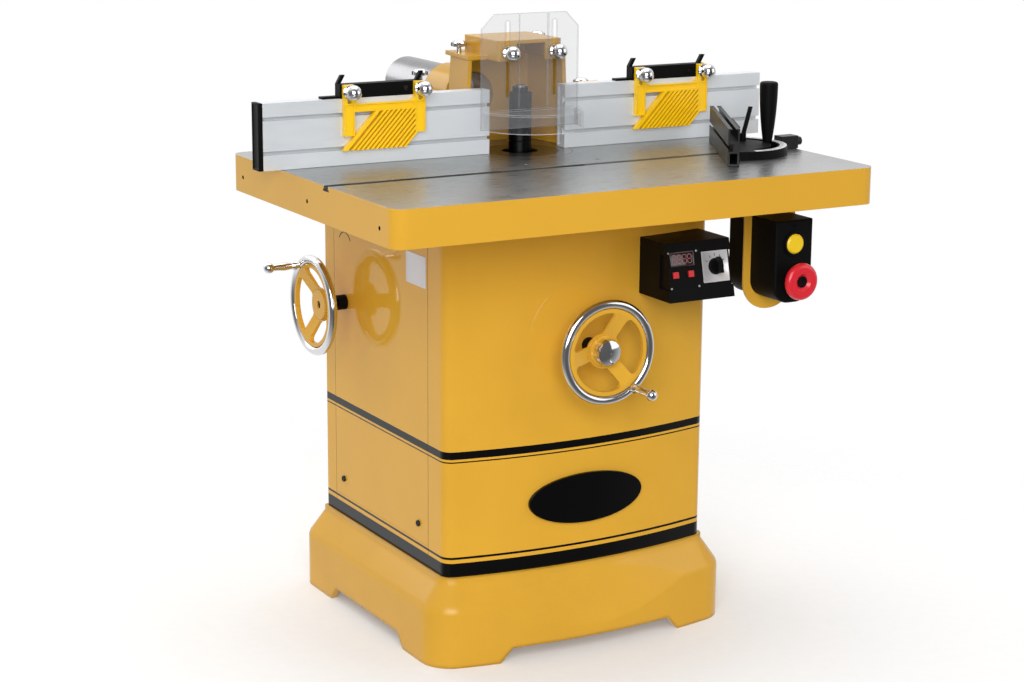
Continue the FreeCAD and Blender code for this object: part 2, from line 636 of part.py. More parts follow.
def make_base():
    """Flared casting: upright skirt, leaning shoulder, scooped front, open deck and four feet."""
    body = new_body("Base")
    shoulder = S.base_height - S.lip_drop
    pad(body, sketch_on(body, "XY", 0, cabinet_plan(S.base_flare)), S.skirt_height)
    loft(body, sketch_on(body, "XY", S.skirt_height, cabinet_plan(S.base_flare)),
         sketch_on(body, "XY", shoulder, cabinet_plan(S.lip_out)))
    pad(body, sketch_on(body, "XY", shoulder, cabinet_plan(S.lip_out)), S.lip_drop)
    round_edges(body, S.shoulder_round, on_level(S.skirt_height))
    # A slanting flat meets the bowed skirt along a sagging arc
    scoop = outline((SCOOP_LOW_OUT, S.scoop_low), (SCOOP_TOP, shoulder), (SCOOP_TOP, S.base_height),
                    (SCOOP_LOW_OUT * 2, S.base_height), (SCOOP_LOW_OUT * 2, S.scoop_low))
    pocket(body, sketch_on(body, "YZ", 0, scoop))
    # Underside hollowed in three steps, and the open deck
    for out, depth in ((S.lip_out - S.base_wall, S.base_height - S.base_deck),
                       (S.base_flare / 4, S.skirt_height - S.lip_drop),
                       (S.base_flare - S.base_wall, S.scoop_low - S.lip_drop)):
        pocket(body, sketch_on(body, "XY", 0, cabinet_plan(out)), depth, back=True)
    window = S.cabinet_half - S.deck_window
    deck = box(-window, S.cabinet_front + S.deck_window, window, S.cabinet_back - S.deck_window)
    pocket(body, sketch_on(body, "XY", S.base_height, deck), S.base_deck * 2)
    # Gaps between the feet
    wide, narrow = FOOT_GAP_FRONT, FOOT_GAP_FRONT - S.foot_slant
    arch = outline((-wide, 0), (wide, 0), (narrow, S.foot_clear), (-narrow, S.foot_clear))
    pocket(body, sketch_on(body, "XZ", 0, arch))
    arch = outline((FOOT_GAP_SIDE_FRONT, 0), (FOOT_GAP_SIDE_BACK, 0),
                   (FOOT_GAP_SIDE_BACK - S.foot_slant, S.foot_clear),
                   (FOOT_GAP_SIDE_FRONT + S.foot_slant, S.foot_clear))
    pocket(body, sketch_on(body, "YZ", 0, arch))
    # Anchor pads run from the holes into the walls of the four corners
    inside = S.base_flare - S.base_wall * S.pad_sink
    half, inner = S.cabinet_half + inside, ANCHOR_ACROSS - S.anchor_pad
    front, rear = bow_at(half, BOW_RADIUS + inside), S.cabinet_back + inside
    for left, right in ((-half, -inner), (inner, half)):
        for low, high in ((ANCHOR_ALONG - S.anchor_pad, rear), (front, S.anchor_pad - ANCHOR_ALONG)):
            pad(body, sketch_on(body, "XY", 0, box(left, low, right, high)), S.anchor_thick)
    holes = [ring(ANCHOR_ACROSS * x, ANCHOR_ALONG * y, S.anchor_radius) for x in (-1, 1) for y in (-1, 1)]
    pocket(body, sketch_on(body, "XY", 0, *holes), S.anchor_thick * 2, back=True)
    return keep(body, "base_casting")


def make_cabinet():
    body = new_body("Cabinet")
    half, wall = S.cabinet_half, S.cabinet_wall
    tall = TABLE_UNDER - S.base_height
    pad(body, sketch_on(body, "XY", S.base_height, cabinet_plan(0)), tall)
    pocket(body, sketch_on(body, "XY", S.base_height, cabinet_plan(-wall)), tall - S.flange_thick, back=True)
    window = half - S.top_flange
    top = box(-window, S.cabinet_front + S.top_flange / 2, window, S.cabinet_back - S.top_flange)
    pocket(body, sketch_on(body, "XY", TABLE_UNDER, top), S.flange_thick * 2)
    # Ledge behind the access panel, then the opening that the panel fills
    gap, ledge = S.panel_gap, S.panel_ledge
    frame = box(PANEL_FRONT - ledge, PANEL_LOW - ledge, PANEL_BACK + ledge, TABLE_UNDER - S.flange_thick)
    inside = box(PANEL_FRONT + ledge, PANEL_LOW + ledge, PANEL_BACK - ledge, PANEL_HIGH - ledge)
    pad(body, sketch_on(body, "YZ", wall - half, frame, inside), wall)
    opening = box(PANEL_FRONT - gap, PANEL_LOW - gap, PANEL_BACK + gap, PANEL_HIGH + gap)
    pocket(body, sketch_on(body, "YZ", wall - half, opening), wall * 2, back=False)
    # Hole for the front shaft's bush
    hole = ring(S.wheel_across, WHEEL_HEIGHT, S.bush_radius + S.fit)
    pocket(body, sketch_on(body, "XZ", 0, hole), -S.cabinet_front * 2, back=True)
    return keep(body, "cabinet_shell")


def make_access_panel():
    screws = [ring(along, SCREW_LOW, S.screw_radius) for along in (SCREW_FRONT, SCREW_BACK)]
    bush = ring(SIDE_ALONG, SIDE_HEIGHT, S.bush_radius + S.fit)
    body = prism("AccessPanel", "YZ", -S.cabinet_half, S.cabinet_wall,
                 box(PANEL_FRONT, PANEL_LOW, PANEL_BACK, PANEL_HIGH), bush, *screws)
    return keep(body, "access_panel")


def make_badge():
    ellipse = doc.addObject("Part::Ellipse", "BadgeEdge")
    bind(ellipse, "MajorRadius", S.badge_half)
    bind(ellipse, "MinorRadius", S.badge_tall / 2)
    place(ellipse, 0, 0, BADGE_HEIGHT, TO_FRONT)
    oval = doc.addObject("Part::Extrusion", "BadgeOval")
    oval.Base = ellipse
    oval.DirMode = "Custom"
    oval.Dir = Vector(0, -1, 0)
    bind(oval, "LengthFwd", BOW_RADIUS)
    oval.Solid = True
    inner, outer = BOW_RADIUS + S.seat_gap, BOW_RADIUS + S.badge_thick
    half = S.badge_half + S.badge_thick
    band = prism("BadgeBand", "XY", BADGE_HEIGHT - S.badge_tall, S.badge_tall * 2,
                 outline((-half, bow_at(half, inner), -inner), (-half, bow_at(half, outer)),
                         (half, bow_at(half, outer), outer), (half, bow_at(half, inner))))
    badge = doc.addObject("Part::Common", "Badge")
    badge.Base = band
    badge.Tool = oval
    return keep(badge, "badge_plate")


def make_table():
    half = S.table_length / 2
    body = new_body("Table")
    pad(body, sketch_on(body, "XY", TABLE_UNDER, box(-half, TABLE_FRONT, half, S.table_back)), S.table_apron)
    corners = [(x * half.value, y.value) for x in (-1, 1) for y in (TABLE_FRONT, S.table_back)]
    round_edges(body, S.table_corner, upright_at(corners))
    # Pockets under the plate leave the apron, the two ribs over the cabinet's sides and a cross rib
    edge = half - S.table_rim
    rib_in = S.cabinet_half + S.table_rib / 4 - S.table_rib
    rib_out = rib_in + S.table_rib
    cross = S.cabinet_front + S.table_rib
    columns = ((-edge, -rib_out), (-rib_in, rib_in), (rib_out, edge))
    rows = ((TABLE_FRONT + S.table_rim, cross - S.cross_rib), (cross, S.table_back - S.table_rim))
    hollows = [box(left, low, right, high) for left, right in columns for low, high in rows]
    pocket(body, sketch_on(body, "XY", TABLE_UNDER, *hollows), S.table_apron - S.table_plate, back=True)
    # Stepped opening for the rings
    opening = ring(S.spindle_across, S.spindle_along, S.opening_radius)
    pocket(body, sketch_on(body, "XY", S.table_top, opening), S.ring_thick)
    through = ring(S.spindle_across, S.spindle_along, S.opening_radius - S.ring_ledge)
    pocket(body, sketch_on(body, "XY", S.table_top, through), S.table_plate)
    # Mitre slot with its undercut
    mouth, under = S.slot_width / 2, S.slot_under_width / 2
    floor = S.table_top - S.slot_deep
    shelf = floor + S.slot_under_height
    centre = S.slot_centre
    tee = outline((centre - under, floor), (centre + under, floor), (centre + under, shelf),
                  (centre + mouth, shelf), (centre + mouth, S.table_top), (centre - mouth, S.table_top),
                  (centre - mouth, shelf), (centre - under, shelf))
    pocket(body, sketch_on(body, "YZ", 0, tee))
    # Blind holes in both ends and two starting-pin holes in the top
    spots = [TABLE_MIDDLE + S.edge_hole_pitch * step for step in (-1, 0, 1)]
    level = S.table_top - S.edge_hole_drop
    for side, back in ((-1, True), (1, False)):
        holes = [ring(spot, level, S.edge_hole_radius) for spot in spots]
        pocket(body, sketch_on(body, "YZ", half * side, *holes), S.edge_hole_depth, back=back)
    pins = [ring(S.spindle_across + S.pin_hole_out * side, PIN_HOLE_FRONT, S.pin_hole_radius)
            for side in (-1, 1)]
    pocket(body, sketch_on(body, "XY", S.table_top, *pins), S.table_plate)
    return keep(body, "table")


def make_insert_rings():
    low = S.table_top - S.ring_thick
    seat = S.inner_ring_radius - S.ring_ledge / 2
    step = low + S.ring_thick / 2
    outer = turned("OuterRing", (seat, low), (S.opening_radius - S.ring_gap, low),
                   (S.opening_radius - S.ring_gap, S.table_top), (S.inner_ring_radius, S.table_top),
                   (S.inner_ring_radius, step), (seat, step))
    inner = tube("InnerRing", S.inner_ring_hole, S.inner_ring_radius - S.ring_gap, step, S.table_top)
    for body in (outer, inner):
        place(body, S.spindle_across, S.spindle_along, 0)
    return group("insert_rings", [outer, inner])


def make_quill_housing():
    """Casting under the table: guide tube, screw arms, lug for the front shaft, cage for the pulley."""
    body = new_body("QuillHousing")
    across, along, wide = S.spindle_across, S.spindle_along, S.arm_width
    bore, tall = S.quill_radius + S.fit, PLATE_UNDER - HOUSING_LOW

    def round_at(level, radius):
        return sketch_on(body, "XY", level, ring(across, along, radius))

    def bar_at(level, front, back):
        return sketch_on(body, "XY", level, box(S.wheel_across - wide, front, S.wheel_across + wide, back))

    pad(body, round_at(HOUSING_LOW, S.housing_radius), tall)
    pad(body, round_at(PLATE_UNDER - S.flange_depth, S.housing_flange), S.flange_depth)
    # Arms above and below the lift screw's nut, and the lug for the front shaft
    inside = along - S.quill_radius
    lug_low = WHEEL_HEIGHT - S.lug_drop
    pad(body, bar_at(TOP_ARM_LOW, SCREW_ALONG - wide, inside), S.arm_thick)
    pad(body, bar_at(HOUSING_LOW, LUG_FRONT, inside), S.arm_thick)
    pad(body, bar_at(lug_low, LUG_FRONT, LUG_FRONT + S.lug_thick), HOUSING_LOW - lug_low)
    # Two legs and a ring under the tube
    for near, far in ((-S.housing_radius, -bore), (bore, S.housing_radius)):
        leg = box(across + near, along - S.leg_wide / 2, across + far, along + S.leg_wide / 2)
        pad(body, sketch_on(body, "XY", CAGE_LOW, leg), HOUSING_LOW - CAGE_LOW + S.lap)
    pad(body, round_at(CAGE_LOW, S.housing_radius), S.cage_tall)
    # Bores
    pocket(body, round_at(HOUSING_LOW, bore), tall, back=True)
    pocket(body, round_at(CAGE_LOW, S.sleeve_radius + S.fit), S.cage_tall, back=True)
    screw = ring(S.wheel_across, SCREW_ALONG, S.screw_radius_lift + S.fit)
    pocket(body, sketch_on(body, "XY", HOUSING_LOW, screw), tall, back=True)
    shaft = ring(S.wheel_across, WHEEL_HEIGHT, S.shaft_radius + S.fit)
    pocket(body, sketch_on(body, "XZ", -LUG_FRONT, shaft), S.lug_thick)
    # Window that the quill's arm runs in
    window = box(S.wheel_across - S.window_half, WINDOW_LOW, S.wheel_across + S.window_half, WINDOW_HIGH)
    pocket(body, sketch_on(body, "XZ", -along, window), S.housing_radius, back=True)
    return keep(body, "quill_housing")


def make_quill():
    bore = S.journal_radius + S.quill_clear
    body = turned("Quill", (bore, QUILL_LOW), (S.quill_radius, QUILL_LOW),
                  (S.quill_radius, QUILL_HIGH), (S.bearing_radius, QUILL_HIGH),
                  (S.bearing_radius, QUILL_HIGH - S.bearing_wide), (bore, QUILL_HIGH - S.bearing_wide))
    doc.recompute()
    pocket(body, sketch_on(body, "XY", QUILL_LOW, ring(0, 0, S.bearing_radius)), S.bearing_wide, back=True)
    # Arm through the housing's window to the lift screw
    reach = SCREW_ALONG - S.spindle_along
    shift = S.wheel_across - S.spindle_across
    nose = reach - S.arm_width
    arm = box(shift - S.arm_half, nose, shift + S.arm_half, -(S.bearing_radius + S.quill_radius) / 2)
    pad(body, sketch_on(body, "XY", ARM_LOW, arm), S.arm_tall)
    hole = ring(shift, reach, S.screw_radius_lift + S.fit)
    pocket(body, sketch_on(body, "XY", ARM_LOW, hole), S.arm_tall, back=True)
    place(body, S.spindle_across, S.spindle_along, 0)
    return keep(body, "quill")


def make_spindle_bearings():
    bearing = tube("SpindleBearing", S.journal_radius + S.fit, S.bearing_radius, 0, S.bearing_wide)
    levels = (QUILL_LOW, QUILL_HIGH - S.bearing_wide)
    copies = [copy_at(bearing, S.spindle_across, S.spindle_along, low) for low in levels]
    return group("spindle_bearings", copies)


def make_spindle_shaft():
    body = turned("SpindleShaft", (0, TAIL_LOW), (S.tail_radius, TAIL_LOW), (S.tail_radius, QUILL_LOW),
                  (S.journal_radius, QUILL_LOW), (S.journal_radius, COLLAR_LOW),
                  (S.arbor_radius, COLLAR_LOW), (S.arbor_radius, STACK_TOP),
                  (S.thread_radius, STACK_TOP), (S.thread_radius, SPINDLE_TOP), (0, SPINDLE_TOP))
    place(body, S.spindle_across, S.spindle_along, 0)
    return keep(body, "spindle_shaft")


def make_spindle_collars():
    """Stack of loose collars with bevelled ends."""
    radius, tall, bevel = S.collar_radius, S.collar_tall, S.collar_tall / 24
    collar = turned("SpindleCollar", (S.arbor_radius, 0), (radius - bevel, 0), (radius, bevel),
                    (radius, tall - bevel), (radius - bevel, tall), (S.arbor_radius, tall))
    levels = [COLLAR_LOW + tall * step for step in range(COLLAR_COUNT)]
    copies = [copy_at(collar, S.spindle_across, S.spindle_along, low) for low in levels]
    return group("spindle_collars", copies)


def make_spindle_nut():
    body = new_body("SpindleNut")
    angles = [math.radians(60 * corner) for corner in range(6)]
    edge = outline(*[(S.nut_radius * math.cos(angle), S.nut_radius * math.sin(angle)) for angle in angles])
    pad(body, sketch_on(body, "XY", STACK_TOP, edge), S.nut_tall)
    hole = ring(0, 0, S.thread_radius + S.fit)
    pocket(body, sketch_on(body, "XY", STACK_TOP, hole), S.nut_tall, back=True)
    place(body, S.spindle_across, S.spindle_along, 0)
    return keep(body, "spindle_nut")


def make_spindle_pulley():
    """Two-step pulley with a sleeve that runs up through the cage's ring."""
    bore, sleeve, step, step_big = S.tail_radius + S.fit, S.sleeve_radius, S.spindle_step, S.spindle_step_big
    sleeve_top = CAGE_LOW + S.cage_tall + S.lap
    body = turned("SpindlePulley", (bore, PULLEY_LOW), (step, PULLEY_LOW), (step, PULLEY_MIDDLE),
                  (step_big, PULLEY_MIDDLE), (step_big, PULLEY_HIGH), (sleeve, PULLEY_HIGH),
                  (sleeve, sleeve_top), (bore, sleeve_top))
    place(body, S.spindle_across, S.spindle_along, 0)
    return keep(body, "spindle_pulley")


def gear_line(pitch_radius, phase):
    """The toothed edge of a bevel gear where its pitch line has the given radius."""
    tip, valley = pitch_radius * S.gear_tip, pitch_radius * S.gear_root
    tip_share, root_share = S.tooth_tip.value, S.tooth_root.value
    teeth = int(S.gear_teeth.value)
    points = []
    for tooth in range(teeth):
        for radius, share in ((valley, -root_share), (tip, -tip_share),
                              (tip, tip_share), (valley, root_share)):
            angle = math.radians(phase + 360 * (tooth + share) / teeth)
            points.append((radius * math.cos(angle), radius * math.sin(angle)))
    return outline(*points)


def add_gear(body, direction, phase):
    """A mitre gear whose cone has its tip at the body's origin."""
    big = sketch_on(body, "XY", S.gear_big * direction, gear_line(S.gear_big, phase))
    small = sketch_on(body, "XY", S.gear_small * direction, gear_line(S.gear_small, phase))
    return loft(body, big, small)


def make_lift_screw():
    body = new_body("LiftScrew")
    high = TOP_ARM_LOW + S.arm_thick - WHEEL_HEIGHT
    pad(body, sketch_on(body, "XY", S.gear_small, ring(0, 0, S.screw_radius_lift)), high - S.gear_small)
    add_gear(body, 1, 180 / S.gear_teeth.value)
    place(body, S.wheel_across, SCREW_ALONG, WHEEL_HEIGHT)
    return keep(body, "lift_screw")


def make_front_shaft():
    body = new_body("FrontShaft")
    front = WHEEL_PLANE - HUB_FACE - SCREW_ALONG
    pad(body, sketch_on(body, "XY", front, ring(0, 0, S.shaft_radius)), -S.gear_small - front)
    add_gear(body, -1, 0)
    place(body, S.wheel_across, SCREW_ALONG, WHEEL_HEIGHT, TO_BACK)
    return keep(body, "front_shaft")


def make_bushes():
    """Flanged bushes of the two wheels' shafts; each one's own zero is the outside of the wall."""

    def bush(name, bore):
        clear, inner, outer = bore + S.fit, -S.bush_inside, S.bush_deep
        return turned(name, (clear, inner), (S.bush_radius, inner), (S.bush_radius, 0), (S.bush_flange, 0),
                      (S.bush_flange, outer), (clear, outer))

    front = bush("FrontBush", S.shaft_radius)
    place(front, S.wheel_across, BOW_FRONT - S.seat_gap, WHEEL_HEIGHT, TO_FRONT)
    side = bush("SideBush", S.tension_radius)
    place(side, -S.cabinet_half, SIDE_ALONG, SIDE_HEIGHT, TO_LEFT)
    return group("shaft_bushes", [front, side])


def make_spider(label, shaft_radius):
    """Dished wheel in one with its hub, open between the arms; its rim plane is at zero."""
    half = S.web_thick / 2
    end = S.rim_radius - S.rim_thick - S.fit
    band = end - S.band_wide
    body = turned(label, (shaft_radius, -S.hub_back), (S.hub_neck, -S.hub_back),
                  (S.hub_neck, -S.hub_sink - S.web_thick), (band, -half), (end, -half), (end, half),
                  (band, half), (S.hub_radius, -S.hub_sink), (S.hub_radius, HUB_FACE),
                  (shaft_radius, HUB_FACE))
    # One opening between the arm along X and the next one, whose near side mirrors the first one's
    count = int(S.spoke_count.value)
    step = math.radians(360 / count)
    inner, wide = S.hub_radius + S.hub_edge, S.spoke_half

    def mirrored(across, up):
        cos, sin = math.cos(step), math.sin(step)
        return across * cos + up * sin, across * sin - up * cos

    near, far = root(inner * inner - wide * wide), root(band * band - wide * wide)
    loop = outline((near, wide, -inner), (far, wide), (*mirrored(far, wide), band), mirrored(near, wide))
    cut = pocket(body, sketch_on(body, "XY", half, loop), S.hub_sink + S.web_thick * 2)
    repeat_round(body, cut, count)

    def is_corner(edge):
        point = edge.Vertexes[0].Point
        reach = math.hypot(point.x, point.y)
        return is_upright(edge) and min(abs(reach - inner.value), abs(reach - band.value)) < 0.01

    round_edges(body, S.spoke_round, is_corner)
    return keep(body, label)


def make_rim(label):
    """Round rim with the boss and pin that carry the crank handle."""
    torus = doc.addObject("Part::Torus", label + "_ring")
    bind(torus, "Radius1", S.rim_radius)
    bind(torus, "Radius2", S.rim_thick)
    pin = turned(label + "_pin", (0, 0), (S.crank_boss, 0), (S.crank_boss, S.crank_start),
                 (S.crank_pin, S.crank_start), (S.crank_pin, S.crank_start + S.crank_length - S.crank_ball),
                 (0, S.crank_start + S.crank_length - S.crank_ball))
    place(pin, S.crank_radius, 0, 0)
    rim = doc.addObject("Part::Fuse", label)
    rim.Base = torus
    rim.Tool = pin
    return keep(rim, label)


def make_crank(label):
    """Waisted handle with a ball end that turns on the rim's pin; its widths go by the ball's neck."""
    start = S.crank_start + S.mitre_gap
    end = S.crank_start + S.crank_length
    ball = S.crank_ball
    neck = ball * S.crank_neck
    foot, waist, swell = neck * S.crank_foot, neck * S.crank_waist, neck * S.crank_swell
    bore = S.crank_pin + S.fit
    inside = end - ball + S.mitre_gap
    shoulder = end - ball - root(ball * ball - neck * neck)
    body = turned(label, (bore, start), (foot, start), (foot, start + ball / 2), (waist, start + ball),
                  (swell, (start + shoulder) / 2), (neck, shoulder), (0, end, ball), (0, inside),
                  (bore, inside))
    return keep(body, label)


def make_handwheels():
    front_turn = TO_FRONT.multiply(Rotation(Vector(0, 0, 1), S.front_crank_angle.value))
    side_turn = TO_LEFT.multiply(Rotation(Vector(0, 0, 1), S.side_crank_angle.value))
    places = (
        ("front", S.shaft_radius, (S.wheel_across, WHEEL_PLANE, WHEEL_HEIGHT), front_turn),
        ("side", S.tension_radius, (SIDE_PLANE, SIDE_ALONG, SIDE_HEIGHT), side_turn),
    )
    for name, shaft_radius, spot, rotation in places:
        place(make_spider(name + "_wheel_spider", shaft_radius), *spot, rotation)
        place(make_rim(name + "_wheel_rim"), *spot, rotation)
        crank = make_crank(name + "_handle")
        arm = rotation.multVec(Vector(1, 0, 0))
        pin = [as_size(size) + S.crank_radius * round(share, 12) for size, share in zip(spot, arm)]
        place(crank, *pin, rotation)


def make_lock_knob():
    """Fluted knob with a domed face, screwed on the front shaft's end."""
    radius, deep, dome = S.knob_radius, S.knob_deep, S.knob_dome
    edge = radius - dome / 2
    curve = (edge * edge + dome * dome) / (dome * 2)
    body = turned("LockKnob", (0, 0), (radius - dome, 0), (radius, dome), (radius, deep - dome * 2),
                  (edge, deep - dome), (0, deep, curve))
    doc.recompute()
    flute = sketch_on(body, "XY", 0, ring(radius + S.flute_radius / 2, 0, S.flute_radius))
    cut = pocket(body, flute, deep, back=True)
    repeat_round(body, cut, int(S.knob_flutes.value))
    place(body, S.wheel_across, WHEEL_PLANE - HUB_FACE - S.mitre_gap, WHEEL_HEIGHT, TO_FRONT)
    return keep(body, "lock_knob")


def make_tension_screw():
    """Screw that the side wheel turns; it ends a little inside the hub's face."""
    radius, inner = S.tension_radius, -TENSION_END - S.cabinet_half
    outer = S.wheel_out + HUB_FACE - S.screw_recess
    body = turned("TensionScrew", (0, inner), (radius, inner), (radius, outer), (0, outer))
    place(body, -S.cabinet_half, SIDE_ALONG, SIDE_HEIGHT, TO_LEFT)
    return keep(body, "tension_screw")


def make_motor_rails():
    inside = S.cabinet_half - S.cabinet_wall
    rail = tube("MotorRail", S.rail_radius / 2, S.rail_radius, -inside, inside)
    copies = [copy_at(rail, 0, RAIL_ALONG, level, TO_RIGHT) for level in (RAIL_LOW, RAIL_HIGH)]
    return group("motor_rails", copies)


def make_motor_plate():
    """Plate that slides on the rails, with the tension screw's nut and a stand for the motor's foot."""
    body = new_body("MotorPlate")
    plate = box(PLATE_LEFT, PLATE_LOW, PLATE_RIGHT, PLATE_HIGH)
    pad(body, sketch_on(body, "XZ", -PLATE_ALONG, plate), S.plate_thick, back=True)
    half, deep = S.runner_half, RAIL_ALONG + S.runner_half - PLATE_ALONG - S.plate_thick
    for level in (RAIL_LOW, RAIL_HIGH):
        for left in (PLATE_LEFT + S.runner_left, PLATE_RIGHT - S.runner_right):
            runner = box(left, level - half, left + S.runner_wide, level + half)
            pad(body, sketch_on(body, "XZ", -PLATE_ALONG - S.plate_thick, runner), deep, back=True)
    nut_half = S.nut_block / 2
    nut = box(PLATE_LEFT, SIDE_HEIGHT - nut_half, PLATE_LEFT + S.nut_block, SIDE_HEIGHT + nut_half)
    pad(body, sketch_on(body, "XZ", -PLATE_ALONG, nut), PLATE_ALONG - SIDE_ALONG + nut_half)
    stand = box(MOTOR_ACROSS - S.foot_half, FOOT_LOW, MOTOR_ACROSS + S.foot_half, FOOT_HIGH)
    stand_front = S.spindle_along + S.motor_radius + S.motor_foot
    pad(body, sketch_on(body, "XZ", -PLATE_ALONG, stand), PLATE_ALONG - stand_front)
    screw = ring(SIDE_ALONG, SIDE_HEIGHT, S.tension_radius + S.fit)
    bores = [ring(RAIL_ALONG, level, S.rail_radius + S.fit) for level in (RAIL_LOW, RAIL_HIGH)]
    pocket(body, sketch_on(body, "YZ", 0, screw, *bores))
    return keep(body, "motor_plate")


def make_motor_body():
    """Finned barrel with two end bells and a foot."""
    radius, bore = S.motor_radius, S.motor_shaft + S.shaft_clear
    bell_low, bell_high = MOTOR_LOW + S.bell_tall, MOTOR_HIGH - S.bell_tall
    body = turned("MotorBody", (bore, MOTOR_LOW), (radius - S.bell_inset_low, MOTOR_LOW), (radius, bell_low),
                  (radius, bell_high), (radius - S.bell_inset_high, MOTOR_HIGH), (0, MOTOR_HIGH),
                  (0, bell_low), (bore, bell_low))
    doc.recompute()
    fin = box(radius - S.lap, -S.fin_half, radius + S.fin_tall, S.fin_half)
    fins = pad(body, sketch_on(body, "XY", MOTOR_LOW + S.fin_inset, fin), S.motor_tall - S.fin_inset * 2)
    repeat_round(body, fins, int(S.fin_count.value))
    foot = box(-S.foot_half, S.foot_half, S.foot_half, radius + S.motor_foot)
    pad(body, sketch_on(body, "XY", FOOT_LOW, foot), FOOT_HIGH - FOOT_LOW)
    place(body, MOTOR_ACROSS, S.spindle_along, 0)
    return keep(body, "motor_body")


def make_motor_drive():
    radius, top = S.motor_shaft, MOTOR_LOW + S.bell_tall - S.mitre_gap
    shaft = turned("MotorShaft", (0, PULLEY_LOW), (radius, PULLEY_LOW), (radius, top), (0, top))
    place(shaft, MOTOR_ACROSS, S.spindle_along, 0)
    keep(shaft, "motor_shaft")
    step, step_small = S.motor_step, S.motor_step_small
    pulley = turned("MotorPulley", (radius, PULLEY_LOW), (step, PULLEY_LOW), (step, PULLEY_MIDDLE),
                    (step_small, PULLEY_MIDDLE), (step_small, PULLEY_HIGH), (radius, PULLEY_HIGH))
    place(pulley, MOTOR_ACROSS, S.spindle_along, 0)
    keep(pulley, "motor_pulley")


def make_belt():
    """Endless band round the lower steps of the two pulleys."""
    span = MOTOR_ACROSS - S.spindle_across

    def loop(grow):
        small, large = S.spindle_step + grow, S.motor_step + grow
        lean = (large - small) / span
        rise = root(1 - lean * lean)
        return outline((-(small * lean), small * rise), (-small, 0, small),
                       (-(small * lean), -(small * rise), small),
                       (span - large * lean, -(large * rise)), (span + large, 0, large),
                       (span - large * lean, large * rise, large))

    body = prism("DriveBelt", "XY", PULLEY_LOW + (S.step_tall - S.belt_wide) / 2, S.belt_wide,
                 loop(S.belt_gap + S.belt_thick), loop(S.belt_gap))
    place(body, S.spindle_across, S.spindle_along, 0)
    return keep(body, "drive_belt")


def make_fence_boards():
    """Hollow extrusions with two T-slots in the face."""

    def section():
        face, back = S.fence_face, BOARD_BACK
        points = [(back, BOARD_LOW), (back, BOARD_TOP), (face, BOARD_TOP)]
        for level in (TEE_HIGH, TEE_LOW):
            mouth, under = S.tee_mouth / 2, S.tee_wide / 2
            lip, floor = face + S.tee_lip, face + S.tee_deep
            points += [(face, level + mouth), (lip, level + mouth), (lip, level + under),
                       (floor, level + under), (floor, level - under), (lip, level - under),
                       (lip, level - mouth), (face, level - mouth)]
        points.append((face, BOARD_LOW))
        wall = S.board_wall
        chamber = box(face + S.tee_deep + wall, BOARD_LOW + wall, back - wall, BOARD_TOP - wall)
        return outline(*points), chamber

    left = prism("LeftBoard", "YZ", LEFT_BOARD_OUT, LEFT_BOARD_IN - LEFT_BOARD_OUT, *section())
    keep(left, "fence_board_left")
    right = prism("RightBoard", "YZ", RIGHT_BOARD_IN, RIGHT_BOARD_OUT - RIGHT_BOARD_IN, *section())
    keep(right, "fence_board_right")


def make_hood():
    """Box behind the cutter with leaning walls, open in front and on top, a dust neck and two wings."""
    body = new_body("Hood")

    def plan(height, inset, lean):
        side, rear, bend = inset + lean, HOOD_BACK - inset - lean, S.hood_round - inset
        left, right = HOOD_LEFT + S.hood_taper + side, HOOD_RIGHT - S.hood_taper - side
        return sketch_on(body, "XY", height, outline(
            (HOOD_LEFT + side, HOOD_FRONT), (HOOD_RIGHT - side, HOOD_FRONT), (right, rear - bend),
            (right - bend, rear, bend), (left + bend, rear), (left, rear - bend, bend)))

    loft(body, plan(BOARD_LOW, 0, 0), plan(HOOD_TOP, 0, S.hood_lean))
    for start, end in ((HOOD_LEFT - S.wing_reach, HOOD_LEFT + S.hood_taper),
                       (HOOD_RIGHT - S.hood_taper, HOOD_RIGHT + S.wing_reach)):
        wing = box(start, WING_FRONT, end, WING_FRONT + S.wing_deep)
        pad(body, sketch_on(body, "XY", WING_LOW, wing), S.wing_thick)
    neck = ring(NECK_ACROSS, NECK_HEIGHT, S.neck_radius)
    neck_start = HOOD_BACK - S.hood_wall
    pad(body, sketch_on(body, "XZ", -neck_start, neck), S.neck_length + S.hood_wall, back=True)
    loft(body, plan(BOARD_LOW, S.hood_wall, 0), plan(HOOD_TOP, S.hood_wall, S.hood_lean), "SubtractiveLoft")
    bore = ring(NECK_ACROSS, NECK_HEIGHT, S.port_radius - S.port_wall)
    end = HOOD_BACK + S.neck_length
    pocket(body, sketch_on(body, "XZ", -end, bore), S.neck_length + S.hood_wall + S.hood_lean * 2, back=True)
    grip = ring(NECK_ACROSS, NECK_HEIGHT, S.port_radius - S.port_step + S.fit)
    pocket(body, sketch_on(body, "XZ", -end, grip), S.port_grip, back=True)
    holes = [ring(stud, WING_MIDDLE, S.stud_radius + S.fit) for stud in (LEFT_STUD, RIGHT_STUD)]
    pocket(body, sketch_on(body, "XY", WING_LOW, *holes), S.wing_thick, back=True)
    return keep(body, "hood")


def make_dust_pipe():
    """Steel pipe whose end is stepped down to fit into the neck."""
    radius, step = S.port_radius, S.lid_seam
    bore, spigot = radius - S.port_wall, radius - S.port_step
    inner, outer = S.lid_seam - S.port_grip, S.port_length - S.port_grip
    body = turned("DustPipe", (bore, inner), (spigot, inner), (spigot, step), (radius, step),
                  (radius, outer), (bore, outer))
    place(body, NECK_ACROSS, HOOD_BACK + S.neck_length, NECK_HEIGHT, TO_BACK)
    return keep(body, "dust_pipe")


